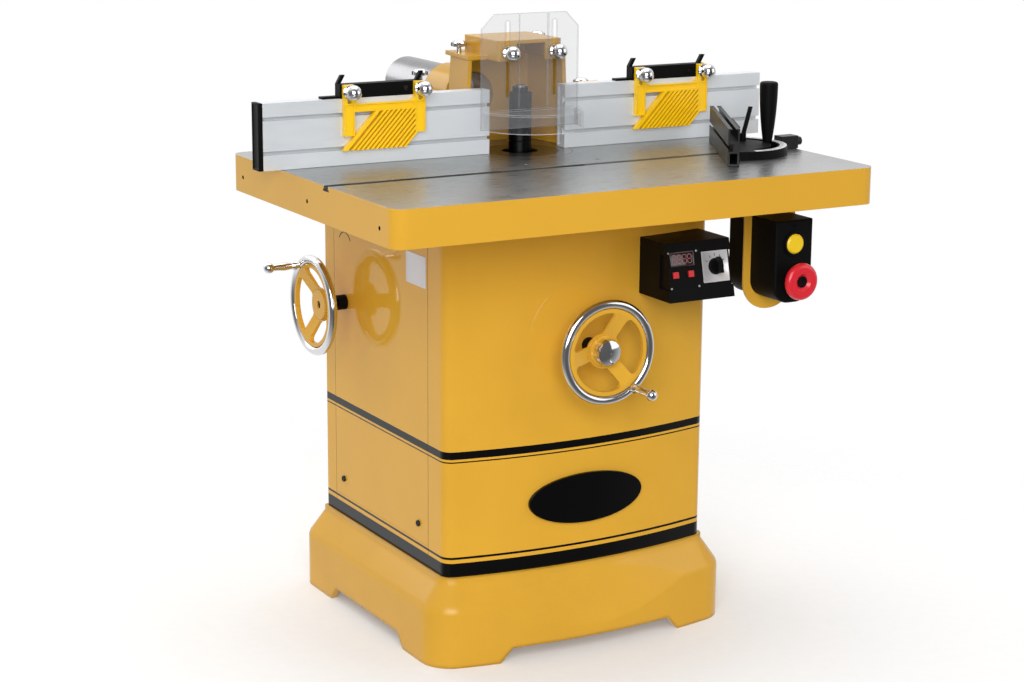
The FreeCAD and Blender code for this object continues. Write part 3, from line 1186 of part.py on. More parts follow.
def make_lid():
    """Flat lid with a raised cap that reaches forward over the cutter and carries the clear guard."""
    body = new_body("HoodLid")
    side, rear = S.hood_lean, HOOD_BACK - S.hood_lean / 2
    plate = outline((HOOD_LEFT + side, HOOD_FRONT), (HOOD_RIGHT - side, HOOD_FRONT),
                    (HOOD_RIGHT - S.hood_taper - side / 2, rear), (HOOD_LEFT + S.hood_taper + side / 2, rear))
    pad(body, sketch_on(body, "XY", LID_LOW, plate), S.lid_thick)
    cap = box(CAP_LEFT, CAP_FRONT, CAP_RIGHT, CAP_BACK)
    pad(body, sketch_on(body, "XY", LID_LOW, cap), S.cap_tall)
    corners = [(x.value, y.value) for x in (CAP_LEFT, CAP_RIGHT) for y in (CAP_FRONT, CAP_BACK)]
    round_edges(body, S.cap_wall, upright_at(corners))
    wall = S.cap_wall
    room = box(CAP_LEFT + wall, CAP_FRONT + wall, CAP_RIGHT - wall, CAP_BACK - wall)
    pocket(body, sketch_on(body, "XY", LID_LOW, room), S.cap_tall - wall, back=True)
    mouth = box(MOUTH_LEFT, LID_LOW, MOUTH_RIGHT, MOUTH_TOP)
    pocket(body, sketch_on(body, "XZ", -CAP_FRONT, mouth), wall)
    holes = [ring(across, GUARD_KNOB, S.stud_fit + S.fit) for across in (GUARD_SLOT_LEFT, GUARD_SLOT_RIGHT)]
    pocket(body, sketch_on(body, "XZ", -CAP_FRONT, *holes), wall)
    return keep(body, "hood_lid")


def make_star_knob(name, length):
    """Lobed knob on a stud; its own origin is where the knob's underside lies."""
    radius, tall = S.star_radius, S.star_tall
    body = turned(name, (0, -length), (S.stud_radius, -length), (S.stud_radius, 0), (radius, 0),
                  (radius, tall - S.star_bevel), (radius - S.star_crown, tall), (0, tall))
    doc.recompute()
    hollow = sketch_on(body, "XY", 0, ring(radius + S.star_cut_out, 0, S.star_cut))
    cut = pocket(body, hollow, tall, back=True)
    repeat_round(body, cut, int(S.star_lobes.value))
    return body


def make_star_knobs():
    knobs = []
    for name, across, height in (("LeftClamp", LEFT_STUD, LEFT_KNOB_HEIGHT),
                                 ("RightClamp", RIGHT_STUD, RIGHT_KNOB_HEIGHT)):
        knob = make_star_knob(name, height - WING_LOW)
        knobs.append(place(knob, across, WING_MIDDLE, height))
    for name, across, rise in (("LeftLid", LID_STUD_LEFT, S.star_tall),
                               ("RightLid", LID_STUD_RIGHT, S.star_tall * 2)):
        knob = make_star_knob(name, rise)
        knobs.append(place(knob, across, LID_STUD_ALONG, LID_TOP + rise))
    return group("star_knobs", knobs)


def make_fence_bracket(label, stud):
    """Upright plate on the back of a board, with a slotted foot that lies on the hood's wing."""
    body = new_body(label)
    low, along = WING_TOP + S.lid_seam, WING_MIDDLE
    half = S.stud_slot + S.stud_radius * 2
    near, far = stud - half, stud + half
    plate = box(near, low, far, BOARD_TOP)
    pad(body, sketch_on(body, "XZ", -BOARD_BACK, plate), S.bracket_thick, back=True)
    foot = box(near, BOARD_BACK, far, WING_FRONT + S.wing_deep)
    pad(body, sketch_on(body, "XY", low, foot), S.bracket_foot)
    clear = S.stud_radius + S.fit
    near_end, far_end = stud - S.stud_slot, stud + S.stud_slot
    slot = outline((near_end, along - clear, clear), (far_end, along - clear),
                   (far_end + clear, along, clear), (far_end, along + clear, clear),
                   (near_end, along + clear), (near_end - clear, along, clear))
    pocket(body, sketch_on(body, "XY", low, slot), S.bracket_foot, back=True)
    return keep(body, label)


def make_fence_brackets():
    make_fence_bracket("fence_bracket_left", LEFT_STUD)
    make_fence_bracket("fence_bracket_right", RIGHT_STUD)


def make_guard():
    """Clear plate with two upright slots, and the curved visor along its foot."""
    front = CAP_FRONT - S.lid_seam - S.guard_thick
    left, right, cut = GUARD_LEFT, GUARD_RIGHT, S.guard_cut
    edge = outline((left, GUARD_LOW), (right, GUARD_LOW), (right, GUARD_HIGH - cut),
                   (right - cut, GUARD_HIGH), (left + cut, GUARD_HIGH), (left, GUARD_HIGH - cut))
    slots = [upright_slot(centre, GUARD_SLOT_LOW, GUARD_SLOT_HIGH, S.guard_slot_half)
             for centre in (GUARD_SLOT_LEFT, GUARD_SLOT_RIGHT)]
    plate = prism("GuardPlate", "XZ", -CAP_FRONT + S.lid_seam, S.guard_thick, edge, *slots)
    keep(plate, "guard_plate")

    middle = (left + right) / 2
    outer, inner = S.visor_radius, S.visor_radius - S.visor_thick
    visor = new_body("GuardVisor")
    shelf = outline((middle - outer, front), (middle, front - outer, outer), (middle + outer, front, outer))
    pad(visor, sketch_on(visor, "XY", VISOR_TOP - S.visor_thick, shelf), S.visor_thick)
    brim = outline((middle - outer, front), (middle, front - outer, outer), (middle + outer, front, outer),
                   (middle + inner, front), (middle, front - inner, -inner), (middle - inner, front, -inner))
    pad(visor, sketch_on(visor, "XY", GUARD_LOW, brim), VISOR_TOP - S.visor_thick / 2 - GUARD_LOW)
    keep(visor, "guard_visor")


def make_ball_knob(name, stud):
    """Ball knob with a flange and a stud behind it; its own origin is the back of the flange."""
    ball, neck = S.ball_radius, S.ball_neck
    dip = root(ball * ball - neck * neck)
    middle = S.ball_base * 2 + dip
    return turned(name, (0, -stud), (S.stud_fit, -stud), (S.stud_fit, 0), (S.ball_flange, 0),
                  (S.ball_flange, S.ball_base), (neck, S.ball_base * 2), (0, middle + ball, ball))


def make_guard_knobs():
    front = CAP_FRONT - S.lid_seam - S.guard_thick - S.lid_seam
    knob = make_ball_knob("GuardKnob", S.guard_thick + S.lid_seam * 2 + S.cap_wall)
    spots = (GUARD_SLOT_LEFT, GUARD_SLOT_RIGHT)
    return group("guard_knobs", [copy_at(knob, across, front, GUARD_KNOB, TO_FRONT) for across in spots])


def make_featherboard(name):
    """Comb of leaning fingers on two dished legs; fingers past the right leg are cut flush with it."""
    body = new_body(name)
    near, half, bend = S.leg_left, S.leg_half, S.beam_round
    far = near + S.leg_pitch
    offset = -S.fence_face + S.lid_seam
    frame = outline((near - half, LEG_LOW), (near + half, LEG_LOW), (near + half, BEAM_LOW),
                    (far - half, BEAM_LOW), (far - half, LEG_LOW), (far + half, LEG_LOW),
                    (far + half, LEG_TOP), (far - half, LEG_TOP), (far - half, BEAM_TOP + bend),
                    (far - half - bend, BEAM_TOP, -bend), (near + half + bend, BEAM_TOP),
                    (near + half, BEAM_TOP + bend, -bend), (near + half, LEG_TOP), (near - half, LEG_TOP))
    pad(body, sketch_on(body, "XZ", offset, frame), S.feather_thick)

    def finger(first, wide):
        top = BEAM_LOW + S.finger_pitch / 4
        lean = S.finger_lean * ((top - FINGER_TIP) / (BEAM_LOW - FINGER_TIP))
        return outline((first, FINGER_TIP), (first + wide, FINGER_TIP), (first + wide + lean, top),
                       (first + lean, top))

    pad(body, sketch_on(body, "XZ", offset, finger(FINGER_FIRST, S.finger_pitch)), S.feather_thick)
    second = FINGER_FIRST + S.finger_start
    comb = pad(body, sketch_on(body, "XZ", offset, finger(second, S.finger_wide)), S.feather_thick)
    repeat_along(body, comb, int(S.finger_count.value), S.finger_pitch)
    doc.recompute()
    beyond = box(far + half, FINGER_TIP - S.finger_wide, far + half + S.leg_pitch, BEAM_TOP)
    pocket(body, sketch_on(body, "XZ", offset, beyond), S.feather_thick, back=True)
    half_slot = S.stud_fit + S.fit
    slots = [upright_slot(across, FEATHER_SLOT_LOW, FEATHER_KNOB, half_slot) for across in (near, far)]
    pocket(body, sketch_on(body, "XZ", offset, *slots), S.feather_thick, back=True)
    # Dished faces of the legs and the beam
    rim = S.feather_rim
    dish_top = FEATHER_SLOT_LOW - half_slot - rim
    dishes = [box(leg - half + rim, LEG_LOW + rim, leg + half - rim, dish_top) for leg in (near, far)]
    dishes.append(box(near + half + rim, BEAM_LOW + rim, far - half - rim, BEAM_TOP - rim))
    pocket(body, sketch_on(body, "XZ", offset + S.feather_thick, *dishes), S.feather_dish)
    return body


def make_feather_bracket(name):
    """Clamp bar on top of the fence board, with a leaning tab at each end, a window and a foot."""
    body = new_body(name)
    near = S.leg_left - S.leg_half - S.bar_over
    far = S.leg_left + S.leg_pitch + S.leg_half
    low = BOARD_TOP + S.lid_seam
    high = low + S.bar_tall
    behind = S.fence_face + S.bar_deep
    pad(body, sketch_on(body, "XZ", -behind, box(near, low, far, high)), S.bar_deep)
    for left in (near, far - S.tab_wide):
        right, foot = left + S.tab_wide, high - S.tab_wide
        tab = outline((left, foot), (right, foot), (right, high), (right + S.tab_lean, high + S.tab_tall),
                      (left + S.tab_lean, high + S.tab_tall), (left, high))
        pad(body, sketch_on(body, "XZ", -behind, tab), S.tab_deep)
    foot = box(near - S.foot_reach, S.fence_face + S.bar_deep / 4, near + S.foot_thick, behind)
    pad(body, sketch_on(body, "XY", low, foot), S.foot_thick)
    studs = [ring(S.leg_left + out, FEATHER_KNOB, S.stud_fit + S.fit) for out in (0, S.leg_pitch)]
    pocket(body, sketch_on(body, "XZ", -S.fence_face, *studs), S.stud_grip)
    middle, half = far - S.bar_window_in, S.bar_window / 2
    window = box(middle - half, FEATHER_KNOB - half, middle + half, FEATHER_KNOB + half)
    pocket(body, sketch_on(body, "XZ", -S.fence_face, window), S.bar_deep)
    return body


def make_feather_sets():
    board = make_featherboard("Featherboard")
    bracket = make_feather_bracket("FeatherBracket")
    knob = make_ball_knob("FeatherKnob", S.feather_thick + S.lid_seam + S.stud_grip - S.ball_base)
    for side, shift in (("left", as_size(0)), ("right", S.feather_offset)):
        for body, label in ((board, "featherboard_"), (bracket, "feather_bracket_")):
            copy = doc.addObject("Part::Compound", label + side)
            copy.Links = [copy_at(body, shift, 0, 0)]
            keep(copy, label + side)
        front = S.fence_face - S.lid_seam - S.feather_thick - S.seat_gap
        spots = (S.leg_left + shift, S.leg_left + S.leg_pitch + shift)
        group("feather_knobs_" + side,
              [copy_at(knob, across, front, FEATHER_KNOB, TO_FRONT) for across in spots])


def make_mitre_bar():
    """Bar in the table's slot, with the stop block and its knob at the outer end."""
    top = S.table_top - S.mitre_gap
    low = S.table_top - S.slot_deep + S.mitre_gap
    left, stop_low = MITRE_RIGHT - S.stop_long, S.table_top + S.mitre_gap
    half = S.slot_width / 2 - S.mitre_gap

    def bar_from(start, half_width):
        return box(start, S.slot_centre - half_width, MITRE_RIGHT, S.slot_centre + half_width)

    body = prism("MitreBar", "XY", low, top - low, bar_from(MITRE_LEFT, half))
    # Neck from the bar up into the stop block
    pad(body, sketch_on(body, "XY", top - S.lap, bar_from(left, half)), stop_low - top + S.lap * 2)
    pad(body, sketch_on(body, "XY", stop_low, bar_from(left, S.stop_half)), S.stop_tall)
    knob = ring(S.slot_centre, stop_low + S.stop_tall / 2, S.stop_tall / 3)
    pad(body, sketch_on(body, "YZ", MITRE_RIGHT - S.lap, knob), S.stop_half + S.lap)
    hole = ring(MITRE_PIVOT, S.slot_centre, S.mitre_stud + S.fit)
    pocket(body, sketch_on(body, "XY", low, hole), top - low, back=True)
    return keep(body, "mitre_bar")


def make_mitre_head():
    """Protractor plate with a curved slot, an upright flange for the fence and a pivot pin in the bar."""
    body = new_body("MitreHead")
    low = S.table_top + S.mitre_gap
    front, radius = S.head_front, S.head_radius
    end = root(radius * radius - front * front)
    plan = outline((front, end, radius), (front, -end), (radius, 0, radius))
    pad(body, sketch_on(body, "XY", low, plan), S.head_thick)
    flange = box(front, -S.head_flange_half, front + S.head_flange, S.head_flange_half)
    pad(body, sketch_on(body, "XY", low, flange), HEAD_FLANGE_TOP - low)
    pin_low = S.table_top - S.slot_deep + S.mitre_gap * 2
    pad(body, sketch_on(body, "XY", pin_low, ring(0, 0, S.mitre_stud)), low - pin_low + S.lap)
    pad(body, sketch_on(body, "XY", low + S.head_thick - S.lap, ring(0, 0, S.mitre_boss)), S.mitre_stud)
    reach = math.radians(S.arc_reach.value)
    inner, outer = S.arc_radius - S.arc_half, S.arc_radius + S.arc_half
    cos, sin = math.cos(reach), math.sin(reach)
    slot = outline((outer * cos, -(outer * sin)), (outer, 0, outer), (outer * cos, outer * sin, outer),
                   (inner * cos, inner * sin), (inner, 0, -inner), (inner * cos, -(inner * sin), -inner))
    pocket(body, sketch_on(body, "XY", low, slot), S.head_thick, back=True)
    place(body, MITRE_PIVOT, S.slot_centre, 0, MITRE_TURN)
    return keep(body, "mitre_head")


def make_mitre_fence():
    """Hollow extrusion with a T-slot in its top and one in its face, bolted to the head's flange."""
    low, top = S.table_top + S.mitre_gap * 2, MITRE_FENCE_TOP
    back = S.head_front - S.seat_gap
    face = back - S.mitre_fence_thick
    centre, level = (face + back) / 2, (low + top) / 2
    mouth, under, lip, deep = S.tee_mouth / 2, S.tee_wide / 2, S.tee_lip / 2, S.tee_deep
    wall = S.chamber_wall
    floor = level + under + wall
    section = outline((face, low), (back, low), (back, top), (centre + mouth, top),
                      (centre + mouth, top - lip), (centre + under, top - lip), (centre + under, floor),
                      (centre - under, floor), (centre - under, top - lip), (centre - mouth, top - lip),
                      (centre - mouth, top), (face, top), (face, level + mouth),
                      (face + lip, level + mouth), (face + lip, level + under),
                      (face + deep, level + under), (face + deep, level - under), (face + lip, level - under),
                      (face + lip, level - mouth), (face, level - mouth))
    chamber = box(face + wall, low + wall, back - wall, level - under - wall)
    body = prism("MitreFence", "XZ", -S.mitre_fence_shift - S.mitre_fence_length / 2, S.mitre_fence_length,
                 section, chamber)
    place(body, MITRE_PIVOT, S.slot_centre, 0, MITRE_TURN)
    return keep(body, "mitre_fence")


def make_mitre_handle():
    """Barrel grip on a stud that stands in the bar and passes through the head's curved slot."""
    foot = S.table_top + S.mitre_gap + S.head_thick + S.mitre_gap
    stud_low = S.table_top - S.mitre_gap
    low, mid, edge = S.grip_low, S.grip_mid, S.grip_round
    swell = mid - low
    tall = GRIP_TOP - edge - foot
    curve = (tall * tall + swell * swell) / (swell * 2)
    body = turned("MitreHandle", (0, stud_low), (S.mitre_stud, stud_low), (S.mitre_stud, foot), (low, foot),
                  (mid, GRIP_TOP - edge, curve), (mid - edge, GRIP_TOP, edge), (0, GRIP_TOP))
    place(body, MITRE_PIVOT + S.arc_radius, S.slot_centre, 0)
    return keep(body, "mitre_handle")


def make_mitre_lever():
    """Small clamp lever that leans over its hub and turns on the head."""
    low = S.table_top + S.mitre_gap + S.head_thick + S.mitre_gap
    radius, half, lean = S.lever_radius, S.lever_half, S.lever_lean
    body = turned("MitreLever", (0, 0), (radius, 0), (radius, radius * 2), (0, radius * 2))
    arm = outline((-half, radius), (half, radius), (lean + half, S.lever_tall), (lean - half, S.lever_tall))
    pad(body, sketch_on(body, "XZ", 0, arm), radius, middle=True)
    turn_by = math.radians(-S.mitre_turn.value)
    cos, sin = math.cos(turn_by), math.sin(turn_by)
    place(body, MITRE_PIVOT + S.lever_across * cos - S.lever_along * sin,
          S.slot_centre + S.lever_across * sin + S.lever_along * cos, low, MITRE_TURN)
    return keep(body, "mitre_lever")


def on_face(height):
    """How far forward the control box's leaning face lies at a height."""
    return FACE_LOW + FACE_RUN * ((height - BOX_LOW) / S.box_tall)


def make_control_box():
    """Box with a leaning face, hollowed behind to the cabinet's bow."""
    body = new_body("ControlBox")
    rear = S.cabinet_front + S.cabinet_bow
    profile = outline((rear, BOX_LOW), (FACE_LOW, BOX_LOW), (FACE_TOP, BOX_HIGH), (rear, BOX_HIGH))
    pad(body, sketch_on(body, "YZ", S.box_left, profile), S.box_wide)
    left, right, past = S.box_left - S.lap, BOX_RIGHT + S.lap, rear + S.lap
    hug = BOW_RADIUS + S.seat_gap
    behind = outline((left, past), (left, bow_at(left, hug)), (right, bow_at(right, hug), hug), (right, past))
    pocket(body, sketch_on(body, "XY", BOX_LOW, behind), S.box_tall, back=True)
    doc.recompute()

    def sink(loop, across, height):
        spot = Vector(across.value, on_face(height).value, height.value)
        pocket(body, sketch_on(body, "XY", 0, loop, tilt=Placement(spot, FACE_TURN)), S.set_deep)

    half = S.set_half + S.press_gap
    for step in (0, 1):
        sink(box(-half, -half, half, half), SET_ACROSS + S.set_pitch * step, SET_HEIGHT)
    sink(ring(0, 0, S.stud_radius + S.fit), SELECTOR_ACROSS, SELECTOR_HEIGHT)
    # The face's edge is set back between its corner ears
    notch = box(FACE_LOW, BOX_LOW + S.ear_tall, FACE_TOP + S.ear_deep, BOX_HIGH - S.ear_tall)
    pocket(body, sketch_on(body, "YZ", S.box_left, notch), S.ear_out, back=True)
    pocket(body, sketch_on(body, "YZ", BOX_RIGHT, notch), S.ear_out)
    return keep(body, "control_box")


def make_set_buttons():
    for step, side in enumerate(("left", "right")):
        half = S.set_half
        rest = S.set_deep - S.set_proud
        body = prism("SetButton" + side, "XY", -rest, rest + S.set_proud, box(-half, -half, half, half))
        place(body, SET_ACROSS + S.set_pitch * step, on_face(SET_HEIGHT), SET_HEIGHT, FACE_TURN)
        keep(body, "set_button_" + side)


def make_selector():
    """Pointer knob: round skirt with a raised grip bar."""
    radius, deep, foot = S.selector_radius, S.selector_deep, S.mitre_gap
    stud, stud_end, half = S.stud_radius, S.mitre_gap - S.set_deep, S.pointer_half
    body = turned("SelectorKnob", (0, stud_end), (stud, stud_end), (stud, foot), (radius, foot),
                  (radius - S.skirt_lean, deep / 3), (0, deep / 3))
    grip = outline((-half, -S.pointer_back), (half, -S.pointer_back), (half, S.pointer_neck),
                   (0, S.pointer_tip), (-half, S.pointer_neck))
    pad(body, sketch_on(body, "XY", deep / 4, grip), deep - deep / 4)
    place(body, SELECTOR_ACROSS, on_face(SELECTOR_HEIGHT), SELECTOR_HEIGHT, FACE_TURN)
    return keep(body, "selector_knob")


def round_bottomed(half, low, high, flat):
    """Upright outline about the switch's middle; its bottom is round but for a flat of that half width."""
    centre, corner = SWITCH_CENTRE, half - flat
    return outline((centre - flat, low, corner), (centre + flat, low), (centre + half, low + corner, corner),
                   (centre + half, high), (centre - half, high), (centre - half, low + corner))


def make_switch():
    """Bent plate that hangs the switch from the table, and the switch's box before and behind it."""
    plate_front = SWITCH_FRONT + S.switch_deep
    bracket = prism("SwitchBracket", "XZ", -plate_front - S.bracket_plate - S.seat_gap, S.bracket_plate,
                    round_bottomed(S.bracket_half, BRACKET_LOW, PLATE_UNDER, S.bracket_flat))
    keep(bracket, "switch_bracket")

    def is_front_edge(edge):
        reach = edge.BoundBox
        return max(abs(along - SWITCH_FRONT.value) for along in (reach.YMin, reach.YMax)) < 0.01

    front = prism("SwitchFront", "XZ", -plate_front, S.switch_deep,
                  round_bottomed(S.switch_half, SWITCH_LOW, SWITCH_HIGH, S.switch_flat))
    round_edges(front, S.switch_round, is_front_edge)
    holes = [ring(SWITCH_CENTRE, START_HEIGHT, S.start_radius + S.press_gap),
             ring(SWITCH_CENTRE, STOP_HEIGHT, S.stop_neck + S.press_gap)]
    pocket(front, sketch_on(front, "XZ", -SWITCH_FRONT, *holes), S.press_hole)
    back_start = plate_front + S.bracket_plate + S.seat_gap * 2
    rear = prism("SwitchBack", "XZ", -back_start - S.back_deep, S.back_deep,
                 round_bottomed(S.back_half, BACK_LOW, BACK_HIGH, S.back_flat))
    group("switch_housing", [front, rear])


def make_start_stop():
    sunk, start, proud = S.press_hole / 2, S.start_radius, S.start_proud
    button = turned("StartButton", (0, -sunk), (start, -sunk), (start, proud / 2),
                    (start - proud / 2, proud), (0, proud))
    place(button, SWITCH_CENTRE, SWITCH_FRONT, START_HEIGHT, TO_FRONT)
    keep(button, "start_button")
    # Mushroom head, round over its edge, with a sunk eye in the middle
    out, radius, neck, edge = S.stop_out, S.stop_radius, S.stop_neck, S.stop_round
    eye, floor, under = S.stop_eye, out - S.eye_deep, out - edge * 2
    stop = turned("StopButton", (0, -sunk), (neck, -sunk), (neck, under), (radius - edge, under),
                  (radius, out - edge, edge), (radius - edge, out, edge), (eye + S.eye_deep, out),
                  (eye, floor), (0, floor))
    place(stop, SWITCH_CENTRE, SWITCH_FRONT, STOP_HEIGHT, TO_FRONT)
    keep(stop, "stop_button")


def check_and_write():
    """Looks at every object, then writes one file for each sub-part."""
    doc.recompute()
    for thing in doc.Objects:
        if {"Invalid", "Error"} & set(thing.State):
            raise ValueError(f"{thing.Label} is not sound: {thing.State}")
    os.makedirs("parts", exist_ok=True)
    for thing in nodes:
        shape = thing.Shape
        if shape.isNull() or not shape.isValid() or not shape.Solids:
            raise ValueError(f"{thing.Label} has no sound shape")
        shape.exportStep(f"parts/{thing.Label}.step")


def main():
    for make in (make_base, make_cabinet, make_access_panel, make_badge, make_table, make_insert_rings,
                 make_quill_housing, make_quill, make_spindle_bearings, make_spindle_shaft,
                 make_spindle_collars, make_spindle_nut, make_spindle_pulley, make_lift_screw,
                 make_front_shaft, make_bushes, make_handwheels, make_lock_knob, make_tension_screw,
                 make_motor_rails, make_motor_plate, make_motor_body, make_motor_drive, make_belt,
                 make_fence_boards, make_hood, make_dust_pipe, make_lid, make_star_knobs,
                 make_fence_brackets, make_guard, make_guard_knobs, make_feather_sets, make_mitre_bar,
                 make_mitre_head, make_mitre_fence, make_mitre_handle, make_mitre_lever, make_control_box,
                 make_set_buttons, make_selector, make_switch, make_start_stop):
        make()
    check_and_write()


main()
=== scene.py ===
import json
import math

import bmesh
import bpy
from mathutils import Euler, Matrix, Vector


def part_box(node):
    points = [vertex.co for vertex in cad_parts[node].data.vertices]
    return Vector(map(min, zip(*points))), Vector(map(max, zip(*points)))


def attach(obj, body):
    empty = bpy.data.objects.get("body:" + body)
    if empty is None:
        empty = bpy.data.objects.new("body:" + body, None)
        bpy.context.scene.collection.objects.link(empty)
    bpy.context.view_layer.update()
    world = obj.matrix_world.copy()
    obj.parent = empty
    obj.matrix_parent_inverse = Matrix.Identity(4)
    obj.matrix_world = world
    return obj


bl_info = {
    "name": "Spindle Moulder Dresser",
    "version": (1, 0, 0),
    "blender": (4, 5, 0),
    "location": "3D View > Sidebar > Moulder",
    "description": "Finishes and small fittings for a floor-standing spindle moulder",
    "category": "Object",
}

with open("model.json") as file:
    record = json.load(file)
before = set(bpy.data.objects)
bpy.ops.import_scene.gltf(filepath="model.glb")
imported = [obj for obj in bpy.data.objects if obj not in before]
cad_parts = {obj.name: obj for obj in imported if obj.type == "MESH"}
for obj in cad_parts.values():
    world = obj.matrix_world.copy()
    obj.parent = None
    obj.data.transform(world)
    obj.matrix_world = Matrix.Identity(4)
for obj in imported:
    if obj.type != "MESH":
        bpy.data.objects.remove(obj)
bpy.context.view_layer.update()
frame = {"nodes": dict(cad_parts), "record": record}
NODES = frame["nodes"]
FINISHES = {}

# Looks that several finishes share

ENAMEL_GRAIN = 1400.0
ENAMEL_DRIFT = 0.035
ENAMEL_ROUGH = (0.33, 0.43)
ENAMEL_COAT = 0.7
ENAMEL_SHINE = 0.06
IRON_GRAIN = 260.0
IRON_STRETCH = (0.06, 1, 1)
IRON_DRIFT = 0.10
IRON_ROUGH = (0.24, 0.38)

# Which finish goes on which slot, and the nodes that differ from their slot

BY_SLOT = {
    "gold_paint": "enamel", "table_iron": "table", "dark_steel": "dark_steel", "bright_steel": "steel",
    "grey_iron": "grey_iron", "pulley_alloy": "pulley", "fence_alloy": "alloy", "chrome": "chrome",
    "black_plastic": "black", "badge_black": "badge", "mitre_black": "mitre", "belt_rubber": "belt",
    "feather_yellow": "feather", "clear_guard": "clear", "start_yellow": "start", "stop_red": "stop",
    "set_red": "key",
}
BY_NODE = {
    "cabinet_shell": "striped", "access_panel": "striped", "base_casting": "base", "hood": "hood",
    "hood_lid": "hood", "dust_pipe": "pipe", "guard_visor": "visor", "mitre_head": "black",
    "mitre_lever": "black", "insert_rings": "rings",
}

# Painted bands: heights above the upper band's lower edge, and above the cabinet's foot

UPPER_BANDS = ((0, 0.0146), (-0.0071, -0.0046))
LOWER_BANDS = ((0, 0.027), (0.0345, 0.039))
# Seam lines round the side panel, dirt and painted shade: their half width, and how far towards black they are
# drawn
SEAM_HALF = 0.0007
SEAM_SHARE = 0.8

# Where the table is bare iron: spans along X and Y, and depths below its top

FACE_DEEP = 0.0125
FACE_UPWARD = 0.6
SLOT_X = (-0.5075, 0.5075)
SLOT_Y = (-0.2445, -0.2165)
SLOT_DEEP = 0.012
CUTS_X = (-0.480, 0.480)
CUTS_Y = (-0.4765, 0.1785)
CUTS_DEEP = 0.0219
RING_WIDE = 0.0267
JOINT_IN, JOINT_OUT = 0.0014, 0.0004

# Tapped holes in the table's ends, drawn with painted shade

EDGE_HOLES_Y = (-0.447, -0.149, 0.149)
EDGE_HOLES_Z = (0.8815, 0.8915)
EDGE_HOLE_HALF = 0.0046
EDGE_HOLE_MOUTH = 0.50795

# Modelling limits

FACING = 0.9
SHARP = math.radians(40)
STEP_WALL = 0.00005
MERGE = 0.00001
STAND_OFF = 0.0001
FINE_EDGE = 0.00003

# Fittings of the guard and the access panel

GUARD_RIBS = (("left", -0.012, 0.0012), ("right", 0.0515, 0.0024))
PANEL_SCREWS = (("front", -0.161, 0.246), ("back", 0.1725, 0.246))
BLANK_PLATE_Y = (-0.193, -0.1115)
BLANK_PLATE_Z = (0.7105, 0.7705)
# The knock-out's slit, a thin black strip of painted shade: its middle, and its arc's radii, thickness and
# reach
SLIT_SPOT = (0.160, 0.7295)
SLIT_INNER, SLIT_OUTER, SLIT_THICK, SLIT_REACH = 0.0283, 0.0303, 0.0003, 58

# Control box: its leaning face, and places on it as X and height

FACE_LEAN, FACE_HIGH = 0.025, 0.109
FACE_FOOT_Y, FACE_FOOT_Z = -0.405, 0.683
DISPLAY_SPOT = (0.1485, 0.7615)
DISPLAY_HALF = (0.027, 0.014)
DISPLAY_THICK = 0.0022
FIGURES, FIGURE_PITCH = 4, 0.0114
BAR_LONG, BAR_HALF, BAR_THICK, BAR_OUT = 0.0056, 0.0007, 0.0004, 0.0013
BAR_RISE, UPRIGHT_RISE, UPRIGHT_SIDE = 0.0081, 0.0041, 0.0042
SELECTOR_SPOT = (0.223, 0.742)
SELECTOR_HALF, SELECTOR_THICK, SELECTOR_OUT = 0.0295, 0.00022, 0.00003
MARK_HALF, MARK_INNER, MARK_OUTER, MARK_THICK, MARK_OUT = 0.0006, 0.0195, 0.0245, 0.0001, 0.00026
MARK_TURNS = (-60, -30, 0, 30, 60)
FACE_SCREWS = ((0.1203, 0.709), (0.182, 0.709), (0.1203, 0.774), (0.182, 0.774))

# Switch and mitre gauge

STOP_CENTRE_DEEP = 0.0059
COVER_SCREW_Z = 0.8125
MITRE_PIVOT = Vector((0.370, -0.2305, 0.94295))
MITRE_FACING = math.radians(-28)
SCALE_WIDE, SCALE_THICK, SCALE_REACH = 0.013, 0.0005, 72
SCALE_MARKS, LONG_MARK_EVERY = range(-60, 61, 3), 15
SCALE_MARK_IN, SCALE_MARK_UP, SCALE_MARK_THICK = 0.001, 0.00052, 0.00012

# Stage: lamps by name, place, size and power, the photograph's camera, and the studio's shades

LAMPS = (("key", (-2.3, -3.9, 2.3), 3.0, 175), ("fill", (3.4, -3.0, 2.0), 3.0, 38),
         ("top", (0.3, 0.4, 4.2), 3.2, 70), ("rim", (-1.5, 3.5, 2.6), 2.5, 40))
LAMP_AIM = Vector((0, -0.1, 0.6))
CAMERA_PLACE = Matrix(((0.87086068, 0.10721361, -0.47969461, -2.19213712),
                       (-0.49147747, 0.20419161, -0.84661425, -3.90700878),
                       (0.00718104, 0.97304215, 0.23051552, 1.60757973),
                       (0, 0, 0, 1)))
CAMERA_LENS = {"sensor_width": 36.0, "lens": 80.6811, "shift_x": -0.00776, "shift_y": -0.00360,
               "clip_end": 50.0}
FLOOR_RADIUS, FLOOR_DROP = 4.0, 0.0005
FLOOR_FADE = (0.5, 1.5)
ROOM_DEPTH, ROOM_SHADE = (-0.8, 0.3), (0.12, 1.0)
LEFT_SPAN, LEFT_SHADE = (-0.95, -0.65), (0.25, 1.0)
LIGHT_SHADE = (0.24, 0.58)


# Materials

